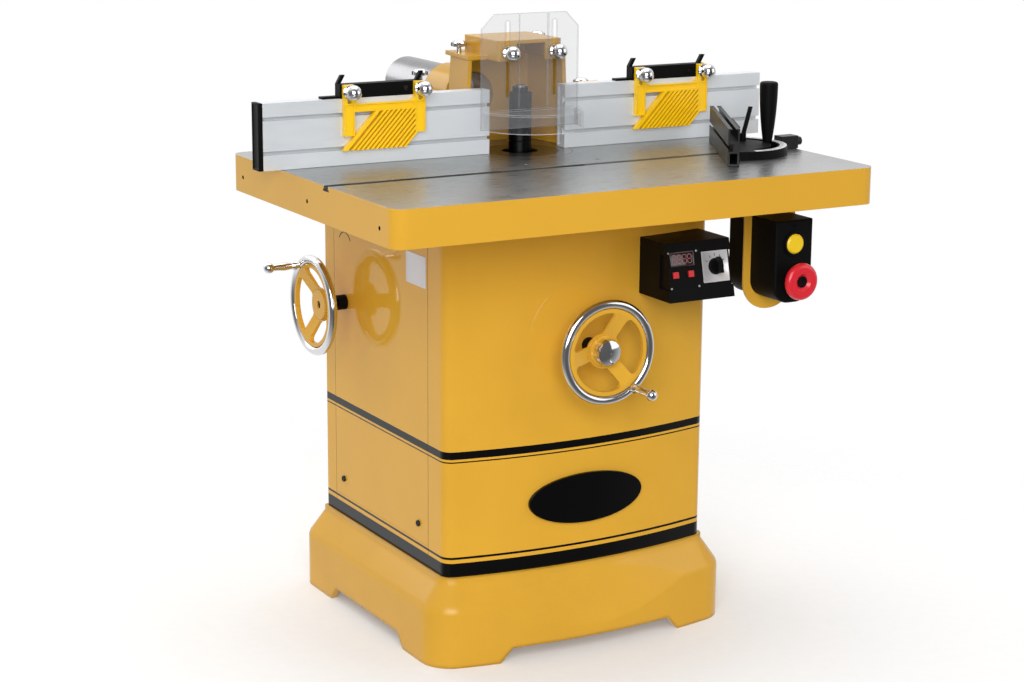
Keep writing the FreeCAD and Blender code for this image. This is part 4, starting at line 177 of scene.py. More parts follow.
class Nodes:
    """A node tree, with shortcuts for adding to it."""

    def __init__(self, tree):
        self.tree = tree

    def node(self, kind, **settings):
        made = self.tree.nodes.new(kind)
        for name, value in settings.items():
            setattr(made, name, value)
        return made

    def feed(self, socket, value):
        """Links another node's output to the socket, or sets a plain value on it."""
        if isinstance(value, bpy.types.NodeSocket):
            self.tree.links.new(value, socket)
        else:
            socket.default_value = value

    def split(self, vector):
        parts = self.node("ShaderNodeSeparateXYZ")
        self.feed(parts.inputs[0], vector)
        return parts.outputs

    def spread(self, source, low, high, start=0.3, end=0.7):
        """Maps a span of values, by default the middle of a noise, to a range."""
        spread = self.node("ShaderNodeMapRange")
        for name, value in (("From Min", start), ("From Max", end), ("To Min", low), ("To Max", high)):
            spread.inputs[name].default_value = value
        self.feed(spread.inputs["Value"], source)
        return spread.outputs["Result"]

    def maths(self, operation, first, second=0):
        step = self.node("ShaderNodeMath", operation=operation)
        self.feed(step.inputs[0], first)
        self.feed(step.inputs[1], second)
        return step.outputs[0]

    def choose(self, share, first, second):
        """Mixes two numbers."""
        mix = self.node("ShaderNodeMix", data_type="FLOAT")
        for index, value in ((0, share), (2, first), (3, second)):
            self.feed(mix.inputs[index], value)
        return mix.outputs[0]


class Finish(Nodes):
    """A material under construction, with its shader and the place on the piece."""

    def __init__(self, name):
        self.material = bpy.data.materials.new(name)
        self.material.use_nodes = True
        super().__init__(self.material.node_tree)
        self.shader = self.tree.nodes["Principled BSDF"]
        self.place = self.node("ShaderNodeTexCoord").outputs["Object"]

    def set(self, **values):
        """Sets or links the shader's inputs, named with underscores for spaces."""
        for name, value in values.items():
            self.feed(self.shader.inputs[name.replace("_", " ")], value)

    def noise(self, scale, detail=3.0, stretch=(1, 1, 1)):
        """Noise laid out in metres along the piece, drawn out by the stretch."""
        mapping = self.node("ShaderNodeMapping")
        mapping.inputs["Scale"].default_value = stretch
        self.feed(mapping.inputs["Vector"], self.place)
        noise = self.node("ShaderNodeTexNoise")
        noise.inputs["Scale"].default_value = scale
        noise.inputs["Detail"].default_value = detail
        self.feed(noise.inputs["Vector"], mapping.outputs["Vector"])
        return noise.outputs["Fac"]

    def blend(self, share, first, second):
        """Mixes two colours, each a socket or a plain colour."""
        mix = self.node("ShaderNodeMix", data_type="RGBA")
        self.feed(mix.inputs[0], share)
        for index, value in ((6, first), (7, second)):
            self.feed(mix.inputs[index], value if isinstance(value, bpy.types.NodeSocket) else (*value, 1))
        return mix.outputs[2]

    def mottle(self, colour, fine, broad, amount):
        """A colour that drifts a little lighter and darker, broadly and finely."""
        dark = [value * (1 - amount) for value in colour]
        light = [min(value * (1 + amount), 1) for value in colour]
        share = self.maths("ADD", self.maths("MULTIPLY", self.spread(broad, 0, 1), 0.65),
                           self.maths("MULTIPLY", self.spread(fine, 0, 1), 0.35))
        return self.blend(share, dark, light)

    def ground_iron(self, iron):
        """The fine and broad noise of ground iron, and its colour."""
        fine, broad = self.noise(IRON_GRAIN, 4.0, IRON_STRETCH), self.noise(5.0, 4.0)
        return fine, broad, self.mottle(to_linear(iron), fine, broad, IRON_DRIFT)

    def relief(self, source, strength, depth, edge=0.0):
        """Bump from a noise, on normals rounded over sharp edges."""
        bump = self.node("ShaderNodeBump")
        bump.inputs["Strength"].default_value = strength
        bump.inputs["Distance"].default_value = depth
        self.feed(bump.inputs["Height"], source)
        if edge:
            rounded = self.node("ShaderNodeBevel", samples=4)
            rounded.inputs["Radius"].default_value = edge
            self.feed(bump.inputs["Normal"], rounded.outputs["Normal"])
        self.set(Normal=bump.outputs["Normal"], Coat_Normal=bump.outputs["Normal"])

    def band(self, value, low, high):
        """One between two limits, and nought outside them."""
        return self.both(self.maths("GREATER_THAN", value, low), self.maths("LESS_THAN", value, high))

    def bands(self, value, middles, half):
        return self.either(*[self.band(value, middle - half, middle + half) for middle in middles])

    def both(self, *shares):
        return self.gather("MULTIPLY", shares)

    def either(self, *shares):
        return self.gather("MAXIMUM", shares)

    def gather(self, operation, shares):
        total = shares[0]
        for share in shares[1:]:
            total = self.maths(operation, total, share)
        return total


def to_linear(colour):
    """A display colour as the shader's linear values."""
    return [value / 12.92 if value <= 0.04045 else ((value + 0.055) / 1.055) ** 2.4 for value in colour]


def coated(name, colour, rough, coat, grain, depth, shine=0.12, level=0.5, amount=0.05, edge=0.0012,
           strength=0.25):
    """Paint or moulded plastic: a drifting colour, a fine skin and soft edges."""
    finish = Finish(name)
    fine, broad = finish.noise(grain, 2.0), finish.noise(7.0)
    finish.set(Base_Color=finish.mottle(to_linear(colour), fine, broad, amount),
               Roughness=finish.spread(broad, rough * 0.85, rough * 1.15),
               Coat_Weight=coat, Coat_Roughness=shine, Specular_IOR_Level=level)
    finish.relief(fine, strength, depth, edge)
    return finish


def bare_metal(name, colour, rough, stretch=(1, 1, 1), grain=500.0, amount=0.06, depth=0.00004, metal=1.0):
    """Metal with grinding or turning lines along one way; a low metal share looks matt and etched."""
    finish = Finish(name)
    fine, broad = finish.noise(grain, stretch=stretch), finish.noise(9.0)
    finish.set(Base_Color=finish.mottle(to_linear(colour), fine, broad, amount),
               Roughness=finish.spread(fine, rough * 0.75, rough * 1.25), Metallic=metal)
    finish.relief(fine, strength=0.3, depth=depth, edge=0.0006)
    return finish


def gold_enamel(name, colour):
    """Smooth glossy enamel on sheet metal."""
    return coated(name, colour, rough=0.38, coat=ENAMEL_COAT, shine=ENAMEL_SHINE, level=0.0, grain=ENAMEL_GRAIN,
                  amount=ENAMEL_DRIFT, depth=0.00003, edge=0.0018, strength=0.12)


def cast_enamel(name, colour, edge):
    """Enamel over a rough casting, duller than on sheet metal and soft at its edges."""
    return coated(name, colour, rough=0.45, coat=0.6, shine=0.16, level=0.0, grain=420.0, depth=0.0002,
                  edge=edge, strength=0.14)


def striped_enamel(name, colour, black, stripes, seams, side):
    """Gold enamel with painted black bands at given heights, and dark seam lines, dirt and painted shade, where
    the side panel is let in.
    """
    finish = Finish(name)
    fine, broad = finish.noise(ENAMEL_GRAIN, 2.0), finish.noise(7.0)
    gold = finish.mottle(to_linear(colour), fine, broad, ENAMEL_DRIFT)
    ink = finish.mottle(to_linear(black), fine, broad, 0.1)
    along = finish.split(finish.place)
    painted = finish.either(*[finish.band(along[2], low, high) for low, high in stripes])
    # Seam lines round the side panel: dirt and painted shade in the gaps, drawn towards the black by
    # SEAM_SHARE.
    seam_dirt_and_shade = finish.both(finish.bands(along[1], seams, SEAM_HALF), finish.maths("LESS_THAN", along[0], side),
                       SEAM_SHARE)
    finish.set(Base_Color=finish.blend(finish.either(painted, seam_dirt_and_shade), gold, ink),
               Roughness=finish.spread(broad, *ENAMEL_ROUGH),
               Coat_Weight=ENAMEL_COAT, Coat_Roughness=ENAMEL_SHINE, Specular_IOR_Level=0.0)
    finish.relief(fine, strength=0.12, depth=0.00003, edge=0.0015)
    return finish


def ring_finish(name, iron, middle, inner, outer):
    """Ground iron like the table's, with painted shade darkening the recessed inner ring, and dark joints round
    both rings.
    """
    finish = Finish(name)
    fine, broad, bright = finish.ground_iron(iron)
    along = finish.split(finish.place)
    across, back = (finish.maths("SUBTRACT", along[index], middle[index]) for index in (0, 1))
    reach = finish.maths("SQRT", finish.maths("ADD", finish.both(across, across), finish.both(back, back)))
    # Painted shade: the inner ring at half the iron's brightness stands in for the shade and dark reflection in
    # its recess.
    ring_painted_shade = finish.mottle([value * 0.5 for value in to_linear(iron)], fine, broad, IRON_DRIFT)
    joints = finish.either(*[finish.band(reach, edge - JOINT_IN, edge + JOINT_OUT) for edge in (inner, outer)])
    shown = finish.blend(finish.maths("LESS_THAN", reach, inner), bright, ring_painted_shade)
    finish.set(Base_Color=finish.blend(joints, shown, (0.03, 0.03, 0.03)),
               Roughness=finish.spread(fine, *IRON_ROUGH), Metallic=1.0)
    finish.relief(fine, strength=0.3, depth=0.00004, edge=0.0006)
    return finish


def table_finish(name, enamel, iron, top):
    """Ground iron on the working face and its cuts, enamel on the rim and underneath, painted shade over the
    edge holes.
    """
    finish = Finish(name)
    fine, broad, ground = finish.ground_iron(iron)
    skin = finish.noise(ENAMEL_GRAIN, 2.0)
    paint = finish.mottle(to_linear(enamel), skin, broad, ENAMEL_DRIFT)
    # Painted shade: a near-black colour for the tapped holes in the table's ends, standing in for the shade
    # inside them.
    shade = finish.mottle((0.02, 0.018, 0.015), skin, broad, 0.2)
    along = finish.split(finish.place)
    facing = finish.split(finish.node("ShaderNodeNewGeometry").outputs["Normal"])
    flat = finish.both(finish.maths("GREATER_THAN", facing[2], FACE_UPWARD),
                       finish.maths("GREATER_THAN", along[2], top - FACE_DEEP))
    slot, cuts = (finish.both(finish.band(along[0], *span), finish.band(along[1], *wide),
                              finish.maths("GREATER_THAN", along[2], top - deep))
                  for span, wide, deep in ((SLOT_X, SLOT_Y, SLOT_DEEP), (CUTS_X, CUTS_Y, CUTS_DEEP)))
    bare = finish.either(flat, slot, cuts)
    holes = finish.both(finish.bands(along[1], EDGE_HOLES_Y, EDGE_HOLE_HALF),
                        finish.maths("LESS_THAN", finish.maths("ABSOLUTE", along[0]), EDGE_HOLE_MOUTH),
                        finish.band(along[2], *EDGE_HOLES_Z))
    finish.set(Base_Color=finish.blend(holes, finish.blend(bare, paint, ground), shade), Metallic=bare,
               Roughness=finish.choose(bare, finish.spread(broad, *ENAMEL_ROUGH),
                                       finish.spread(fine, *IRON_ROUGH)),
               Coat_Weight=finish.spread(bare, ENAMEL_COAT, 0.0, 0, 1),
               Coat_Roughness=ENAMEL_SHINE, Specular_IOR_Level=0.0)
    finish.relief(fine, strength=0.12, depth=0.00003, edge=0.0012)
    return finish


def clear_sheet(name, tint, edge, haze):
    """Clear moulded sheet with faint handling marks, hazier along its surface, and painted light along its
    edges, where the edge colour stands in for the highlights and dark lines that light makes there.
    """
    finish = Finish(name)
    smear = finish.noise(35.0, 5.0)
    rounded = finish.node("ShaderNodeBevel", samples=6)
    rounded.inputs["Radius"].default_value = 0.0022
    turn = finish.node("ShaderNodeVectorMath", operation="DOT_PRODUCT")
    finish.feed(turn.inputs[0], rounded.outputs["Normal"])
    finish.feed(turn.inputs[1], finish.node("ShaderNodeNewGeometry").outputs["Normal"])
    # Painted light along the edges: where the rounded normal turns away from the flat one, the edge colour is
    # painted in.
    painted_edge_line = finish.spread(turn.outputs["Value"], 1.0, 0.0, start=0.8, end=0.995)
    body = finish.mottle(to_linear(tint), finish.noise(600.0), smear, 0.02)
    slant = finish.node("ShaderNodeLayerWeight")
    slant.inputs["Blend"].default_value = 0.35
    cloud = finish.spread(slant.outputs["Facing"], *haze, start=0.15, end=0.8)
    finish.set(Base_Color=finish.blend(painted_edge_line, body, to_linear(edge)), Roughness=finish.spread(smear, 0.03, 0.10),
               Alpha=finish.either(cloud, finish.maths("MULTIPLY", painted_edge_line, 0.7)))
    finish.relief(smear, strength=0.02, depth=0.0002)
    return finish


def glow(name, colour, strength):
    """A display segment with a faint painted glow and a slightly uneven face."""
    finish = Finish(name)
    painted_glow = finish.mottle(to_linear(colour), finish.noise(3000.0), finish.noise(200.0), 0.15)
    finish.set(Base_Color=painted_glow, Emission_Color=painted_glow, Emission_Strength=strength, Roughness=0.4)
    return finish


def floor_finish():
    """Pale floor that fades into the white background away from the machine."""
    finish = Finish("pale_floor")
    fine = finish.noise(40.0)
    finish.set(Base_Color=finish.mottle((0.92, 0.92, 0.92), fine, fine, 0.01), Roughness=0.85)
    length = finish.node("ShaderNodeVectorMath", operation="LENGTH")
    finish.feed(length.inputs[0], finish.place)
    share = finish.spread(length.outputs["Value"], 0.8, 0.0, *FLOOR_FADE)
    mix = finish.node("ShaderNodeMixShader")
    finish.feed(mix.inputs[0], share)
    finish.feed(mix.inputs[1], finish.node("ShaderNodeBsdfTransparent").outputs[0])
    finish.feed(mix.inputs[2], finish.shader.outputs[0])
    finish.feed(finish.tree.nodes["Material Output"].inputs["Surface"], mix.outputs[0])
    return finish


def painted_finishes(colours, sizes):
    """The enamelled castings and sheet metal, and the ground iron that meets them."""
    enamel = colours.enamel
    levels = ((sizes.stripe_high, UPPER_BANDS), (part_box("cabinet_shell")[0].z, LOWER_BANDS))
    stripes = [(level + low, level + high) for level, bands in levels for low, high in bands]
    panel_low, panel_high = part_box("access_panel")
    ring_low, ring_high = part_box("insert_rings")
    outer = (ring_high.x - ring_low.x) / 2
    inner = outer - RING_WIDE
    return {
        "enamel": gold_enamel("gold_enamel", enamel),
        "base": cast_enamel("base_enamel", [value * 0.97 for value in enamel], edge=0.014),
        "hood": cast_enamel("hood_enamel", [value * 0.88 for value in enamel], edge=0.004),
        "striped": striped_enamel("striped_enamel", enamel, colours.stripe, stripes,
                                  (panel_low.y, panel_high.y), panel_high.x),
        "table": table_finish("ground_table", enamel, colours.iron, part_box("table")[1].z),
        "rings": ring_finish("ground_rings", colours.iron, (ring_low + ring_high) / 2, inner, outer),
    }


def metal_finishes(colours):
    return {
        "dark_steel": bare_metal("blackened_steel", (0.11, 0.11, 0.112), rough=0.36, stretch=(1, 1, 6)),
        "steel": bare_metal("turned_steel", (0.74, 0.74, 0.75), rough=0.30, stretch=(1, 1, 6)),
        "grey_iron": coated("cast_grey_iron", (0.40, 0.41, 0.42), rough=0.6, coat=0.0, grain=500, depth=0.0004),
        "pipe": bare_metal("galvanised_steel", (0.55, 0.55, 0.56), rough=0.28, stretch=(1, 6, 1), grain=300.0,
                           amount=0.08),
        "pulley": bare_metal("turned_alloy", (0.80, 0.80, 0.81), rough=0.34, stretch=(1, 1, 8)),
        "alloy": bare_metal("anodised_alloy", colours.alloy, rough=0.42, stretch=(0.03, 1, 1), grain=700.0,
                            amount=0.03, metal=0.3),
        "chrome": bare_metal("chrome_plate", (0.86, 0.86, 0.87), rough=0.12, grain=60.0, amount=0.02,
                             depth=0.00001),
        "plate": bare_metal("silver_plate", (0.86, 0.86, 0.87), rough=0.38, stretch=(1, 1, 8), grain=600.0,
                            amount=0.03, metal=0.25),
    }


def moulded_finishes(colours):
    """Plastics, rubber, coatings and the clear guard."""
    return {
        "black": coated("black_moulding", (0.045, 0.045, 0.045), rough=0.5, coat=0.0, level=0.08, grain=2200,
                        depth=0.0001),
        "badge": coated("gloss_black", (0.02, 0.02, 0.022), rough=0.2, coat=0.35, level=0.1, grain=1200,
                        depth=0.00002),
        "mitre": coated("black_coating", (0.10, 0.10, 0.102), rough=0.42, coat=0.1, level=0.25, grain=1600,
                        depth=0.0001),
        "belt": coated("belt_rubber", (0.10, 0.10, 0.10), rough=0.7, coat=0.0, grain=1000, depth=0.0003),
        "feather": coated("yellow_moulding", colours.feather, rough=0.32, coat=0.15, grain=1500, depth=0.00005),
        # Edge colours are painted light: a grey painted line along the plate's edges, a near-white painted
        # highlight along the visor's.
        "clear": clear_sheet("clear_sheet", (0.68, 0.69, 0.70), edge=(0.46, 0.47, 0.49), haze=(0.135, 0.20)),
        "visor": clear_sheet("clear_visor", (0.70, 0.71, 0.73), edge=(0.95, 0.96, 0.97), haze=(0.03, 0.15)),
        "start": coated("yellow_button", (0.96, 0.81, 0.12), rough=0.3, coat=0.2, grain=1500, depth=0.00004),
        "stop": coated("red_button", colours.stop, rough=0.3, coat=0.2, grain=1500, depth=0.00004),
        "key": coated("red_key", (0.78, 0.12, 0.13), rough=0.4, coat=0.1, grain=1500, depth=0.00004),
        "ink": coated("black_ink", (0.04, 0.04, 0.042), rough=0.5, coat=0.0, grain=1500, depth=0.00002),
        "window": coated("smoked_window", (0.13, 0.05, 0.055), rough=0.12, coat=0.6, grain=900, depth=0.00001),
        # Painted glow: a faint emission that brightens the display's figures.
        "digit": glow("dim_digit", (0.55, 0.36, 0.36), strength=0.08),
    }


# Modelling helpers

def fresh():
    """Object mode, with nothing selected."""
    if bpy.context.object and bpy.context.object.mode != "OBJECT":
        bpy.ops.object.mode_set(mode="OBJECT")
    bpy.ops.object.select_all(action="DESELECT")


def only(piece):
    """Object mode, with this piece alone selected and active."""
    fresh()
    piece.select_set(True)
    bpy.context.view_layer.objects.active = piece


def freeze(piece):
    """Moves the piece's place, turn and scale into its mesh."""
    only(piece)
    bpy.ops.object.transform_apply(location=True, rotation=True, scale=True)
    return piece


def block(name, low, high):
    """A blank between two corners."""
    fresh()
    middle = [(first + last) / 2 for first, last in zip(low, high)]
    bpy.ops.mesh.primitive_cube_add(size=1, location=middle)
    piece = bpy.context.object
    piece.name = name
    piece.scale = [last - first for first, last in zip(low, high)]
    return freeze(piece)


def drum(name, radius, depth, sides):
    """A round blank standing on the origin."""
    fresh()
    bpy.ops.mesh.primitive_cylinder_add(vertices=sides, radius=radius, depth=depth, location=(0, 0, depth / 2))
    piece = bpy.context.object
    piece.name = name
    return freeze(piece)


def faces_up(normal):
    return normal.z > FACING


def faces_left(normal):
    return normal.x < -FACING


def faces_front(normal):
    return normal.y < -FACING


def pick_faces(piece, test):
    """Edit mode, with the faces selected whose normal passes the test."""
    only(piece)
    bpy.ops.object.mode_set(mode="EDIT")
    bpy.ops.mesh.select_mode(type="FACE")
    bpy.ops.mesh.select_all(action="DESELECT")
    shape = bmesh.from_edit_mesh(piece.data)
    for face in shape.faces:
        face.select_set(test(face.normal))
    bmesh.update_edit_mesh(piece.data)


def press_in(piece, test, rim, depth):
    """Sinks a step into the faces that the test picks, leaving a rim."""
    pick_faces(piece, test)
    bpy.ops.mesh.inset(thickness=rim, depth=0)
    bpy.ops.mesh.inset(thickness=STEP_WALL, depth=-depth)
    bpy.ops.object.mode_set(mode="OBJECT")


def draw_out(piece, test, taper, depth):
    """Raises the faces that the test picks on tapering sides."""
    pick_faces(piece, test)
    bpy.ops.mesh.inset(thickness=taper, depth=depth)
    bpy.ops.object.mode_set(mode="OBJECT")


def soften(piece, width, segments=2):
    """Rounds the sharp edges, merges what that squeezes together and smooths the shading."""
    only(piece)
    edges = piece.modifiers.new("Edges", "BEVEL")
    edges.width = width
    edges.segments = segments
    edges.limit_method = "ANGLE"
    edges.angle_limit = SHARP
    bpy.ops.object.modifier_apply(modifier=edges.name)
    bpy.ops.object.mode_set(mode="EDIT")
    bpy.ops.mesh.select_all(action="SELECT")
    bpy.ops.mesh.remove_doubles(threshold=MERGE)
    bpy.ops.object.mode_set(mode="OBJECT")
    bpy.ops.object.shade_smooth_by_angle(angle=SHARP)
    return piece


def dished(name, radius, depth, sides, rim, sink, edge, segments=2):
    """A round head with a sunk face and rounded edges."""
    head = drum(name, radius, depth, sides)
    press_in(head, faces_up, rim, sink)
    return soften(head, edge, segments)


def arc_strip(name, inner, outer, thick, reach):
    """A flat curved strip about the origin, spun from one end to the other, reach degrees either side of X."""
    fresh()
    bpy.ops.mesh.primitive_plane_add(size=1, location=(0, 0, 0))
    strip = bpy.context.object
    strip.name = name
    strip.rotation_euler = (math.pi / 2, 0, 0)
    strip.scale = (outer - inner, thick, 1)
    strip.location = ((inner + outer) / 2, 0, thick / 2)
    freeze(strip)
    strip.rotation_euler = (0, 0, -math.radians(reach))
    freeze(strip)
    bpy.ops.object.mode_set(mode="EDIT")
    bpy.ops.mesh.select_all(action="SELECT")
    bpy.ops.mesh.spin(steps=64, angle=-2 * math.radians(reach), center=(0, 0, 0), axis=(0, 0, 1))
    bpy.ops.mesh.select_all(action="SELECT")
    bpy.ops.mesh.remove_doubles(threshold=MERGE)
    bpy.ops.mesh.normals_make_consistent(inside=False)
    bpy.ops.object.mode_set(mode="OBJECT")
    return strip


def copy_of(piece, name, matrix):
    """A copy with a mesh of its own, put in place and frozen there."""
    copy = piece.copy()
    copy.data = piece.data.copy()
    copy.name = name
    bpy.context.scene.collection.objects.link(copy)
    copy.matrix_world = matrix
    return freeze(copy)


def join(name, pieces):
    fresh()
    for piece in pieces:
        piece.select_set(True)
    bpy.context.view_layer.objects.active = pieces[0]
    bpy.ops.object.join()
    pieces[0].name = name
    return pieces[0]


def drop(piece):
    only(piece)
    bpy.ops.object.delete()


def hand_over(piece, body, finish):
    """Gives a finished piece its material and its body."""
    piece.data.materials.clear()
    piece.data.materials.append(FINISHES[finish].material)
    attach(piece, body)


def at(place, turn=(0, 0, 0)):
    return Matrix.Translation(place) @ Euler(turn).to_matrix().to_4x4()


def on_left(face, along, height):
    """A place on a face that looks left, with Z standing out of it."""
    return at((face, along, height), (0, -math.pi / 2, 0))


def on_front(across, face, height):
    """A place on a face that looks forward, with Z standing out of it."""
    return at((across, face, height), (math.pi / 2, 0, 0))


def on_controls(spot, out):
    """A place on the control box's leaning face, with Z standing out of the face and Y up along it."""
    across, height = spot
    along = FACE_FOOT_Y + FACE_LEAN * (height - FACE_FOOT_Z) / FACE_HIGH
    lean = math.atan2(FACE_HIGH, FACE_LEAN)
    return at((across, along, height), (lean, 0, 0)) @ Matrix.Translation((0, 0, out))


def front_middle(node):
    """The middle of a node as seen from the front, as X and height."""
    low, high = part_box(node)
    return (low.x + high.x) / 2, (low.z + high.z) / 2


# Settings

def colour_setting(name, description, default):
    return bpy.props.FloatVectorProperty(name=name, description=description, default=default, size=3,
                                         min=0, max=1, subtype="COLOR_GAMMA")


class MoulderColours(bpy.types.PropertyGroup):
    """Colours of the finishes, as displayed."""
    enamel: colour_setting("Enamel", "Gold enamel of cabinet, base and castings", (0.868, 0.658, 0.215))
    stripe: colour_setting("Stripe", "Painted bands round the cabinet", (0.025, 0.025, 0.025))
    iron: colour_setting("Table iron", "Ground working face of the table", (0.66, 0.665, 0.66))
    alloy: colour_setting("Fence alloy", "Anodised fence boards", (0.86, 0.875, 0.89))
    feather: colour_setting("Featherboard", "Yellow featherboard moulding", (0.99, 0.79, 0.04))
    stop: colour_setting("Stop", "Red of the stop button", (0.86, 0.13, 0.19))


class MoulderSizes(bpy.types.PropertyGroup):
    """Sizes of the small fittings."""
    cap_thick: bpy.props.FloatProperty(name="End cap", description="Thickness of the left board's end cap",
                                       unit="LENGTH", default=0.009, min=0.002, max=0.01)
    screw_radius: bpy.props.FloatProperty(name="Panel screw", description="Radius of a panel screw's head",
                                          unit="LENGTH", default=0.0062, min=0.004, max=0.01)
    scale_out: bpy.props.FloatProperty(name="Scale radius", description="Outer radius of the mitre scale",
                                       unit="LENGTH", default=0.1025, min=0.09, max=0.103)
    stripe_high: bpy.props.FloatProperty(name="Upper band", description="Height of the upper band's lower edge",
                                         unit="LENGTH", default=0.3976)


# Operators

class MOULDER_OT_finishes(bpy.types.Operator):
    """Make the finishes and put them on the solid parts"""
    bl_idname = "moulder.finishes"
    bl_label = "Finish the solid parts"

    def execute(self, context):
        colours, sizes = context.scene.moulder_colours, context.scene.moulder_sizes
        for made in (painted_finishes(colours, sizes), metal_finishes(colours), moulded_finishes(colours)):
            FINISHES.update(made)
        for part in frame["record"]["subparts"]:
            node = part["node"]
            finish = FINISHES[BY_NODE.get(node, BY_SLOT[part["material_slot"]])]
            NODES[node].data.materials.clear()
            NODES[node].data.materials.append(finish.material)
        return {"FINISHED"}


class MOULDER_OT_end_cap(bpy.types.Operator):
    """Add the black end cap of the left fence board"""
    bl_idname = "moulder.end_cap"
    bl_label = "Fence end cap"

    def execute(self, context):
        thick, lap, gap = context.scene.moulder_sizes.cap_thick, 0.0006, 0.0002
        low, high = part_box("fence_board_left")
        cap = block("end_cap_left", (low.x - thick, low.y - lap, low.z),
                    (low.x - gap, high.y + lap, high.z + lap))
        press_in(cap, faces_left, rim=0.004, depth=0.0012)
        soften(cap, 0.0009)
        hand_over(cap, "left_fence", "black")
        return {"FINISHED"}


class MOULDER_OT_guard_ribs(bpy.types.Operator):
    """Add the two upright ribs on the front of the clear guard"""
    bl_idname = "moulder.guard_ribs"
    bl_label = "Guard ribs"

    def execute(self, context):
        low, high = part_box("guard_plate")
        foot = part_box("guard_visor")[1].z
        proud, short = 0.0011, 0.002
        for side, middle, half in GUARD_RIBS:
            rib = block(f"guard_rib_{side}", (middle - half, low.y - proud, foot),
                        (middle + half, low.y - STAND_OFF, high.z - short))
            draw_out(rib, faces_front, taper=0.0006, depth=0.0004)
            soften(rib, 0.0003)
            hand_over(rib, "guard", "clear")
        return {"FINISHED"}


class MOULDER_OT_panel_screws(bpy.types.Operator):
    """Add the screws that hold the access panel"""
    bl_idname = "moulder.panel_screws"
    bl_label = "Panel screws"

    def execute(self, context):
        radius = context.scene.moulder_sizes.screw_radius
        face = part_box("access_panel")[0].x - 2 * STAND_OFF
        screw = dished("screw_pattern", radius, depth=0.0042, sides=24, rim=radius * 0.42, sink=0.0018,
                       edge=0.0009, segments=3)
        for name, along, height in PANEL_SCREWS:
            piece = copy_of(screw, f"panel_screw_{name}", on_left(face, along, height))
            hand_over(piece, "frame", "ink")
        drop(screw)
        return {"FINISHED"}


class MOULDER_OT_side_marks(bpy.types.Operator):
    """Add the blank plate, and a black strip on the access panel that paints the shade of the cable knock-out's
    slit
    """
    bl_idname = "moulder.side_marks"
    bl_label = "Side plate and slit"

    def execute(self, context):
        face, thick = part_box("access_panel")[0].x, 0.0009
        plate = block("blank_plate", (face - thick, BLANK_PLATE_Y[0], BLANK_PLATE_Z[0]),
                      (face - STAND_OFF, BLANK_PLATE_Y[1], BLANK_PLATE_Z[1]))
        press_in(plate, faces_left, rim=0.002, depth=0.0003)
        soften(plate, 0.0002)
        hand_over(plate, "frame", "plate")
        # Painted shade: a thin black strip laid on the panel in place of the slit's dark inside.
        slit = arc_strip("slit_pattern", SLIT_INNER, SLIT_OUTER, SLIT_THICK, SLIT_REACH)
        piece = copy_of(slit, "knock_out_slit_shade", on_left(face - STAND_OFF, *SLIT_SPOT))
        drop(slit)
        hand_over(piece, "frame", "ink")
        return {"FINISHED"}


class MOULDER_OT_display(bpy.types.Operator):
    """Add the speed display with its figures, which carry a faint painted glow"""
    bl_idname = "moulder.display"
    bl_label = "Speed display"

    def execute(self, context):
        half, high = DISPLAY_HALF
        window = block("display_pattern", (-half, -high, 0.0), (half, high, DISPLAY_THICK))
        press_in(window, faces_up, rim=0.0022, depth=0.0009)
        soften(window, 0.0005)
        piece = copy_of(window, "display_window", on_controls(DISPLAY_SPOT, STAND_OFF))
        hand_over(piece, "frame", "window")
        drop(window)
        bar = block("segment_pattern", (-BAR_LONG / 2, -BAR_HALF, 0), (BAR_LONG / 2, BAR_HALF, BAR_THICK))
        draw_out(bar, lambda normal: abs(normal.x) > FACING, taper=0.00015, depth=0.0005)
        pieces = []
        for figure in range(FIGURES):
            middle = (figure - (FIGURES - 1) / 2) * FIGURE_PITCH
            bars = [(middle, rise * BAR_RISE, 0) for rise in (-1, 0, 1)]
            uprights = [(middle + side * UPRIGHT_SIDE, rise * UPRIGHT_RISE, math.pi / 2)
                        for side in (-1, 1) for rise in (-1, 1)]
            for across, up, turn in bars + uprights:
                spot = on_controls(DISPLAY_SPOT, BAR_OUT) @ at((across, up, 0), (0, 0, turn))
                pieces.append(copy_of(bar, "display_bar", spot))
        drop(bar)
        hand_over(join("display_figures", pieces), "frame", "digit")
        return {"FINISHED"}


class MOULDER_OT_selector_plate(bpy.types.Operator):
    """Add the silver plate, its marks and the corner screws of the control face"""
    bl_idname = "moulder.selector_plate"
    bl_label = "Selector plate"

    def execute(self, context):
        plate = block("plate_pattern", (-SELECTOR_HALF, -SELECTOR_HALF, 0),
                      (SELECTOR_HALF, SELECTOR_HALF, SELECTOR_THICK))
        press_in(plate, faces_up, rim=0.0008, depth=0.00008)
        soften(plate, 0.00005, 1)
        piece = copy_of(plate, "selector_plate", on_controls(SELECTOR_SPOT, SELECTOR_OUT))
        hand_over(piece, "frame", "plate")
        drop(plate)
        mark = block("mark_pattern", (-MARK_HALF, MARK_INNER, 0.0), (MARK_HALF, MARK_OUTER, MARK_THICK))
        soften(mark, FINE_EDGE, 1)
        middle = on_controls(SELECTOR_SPOT, MARK_OUT)
        marks = [copy_of(mark, "mark", middle @ at((0, 0, 0), (0, 0, math.radians(turn))))
                 for turn in MARK_TURNS]
        drop(mark)
        hand_over(join("selector_marks", marks), "frame", "ink")
        screw = dished("corner_screw_pattern", 0.0021, depth=0.0011, sides=20, rim=0.0009, sink=0.0005,
                       edge=0.0003)
        for index, spot in enumerate(FACE_SCREWS):
            piece = copy_of(screw, f"face_screw_{index}", on_controls(spot, STAND_OFF))
            hand_over(piece, "frame", "steel")
        drop(screw)
        return {"FINISHED"}


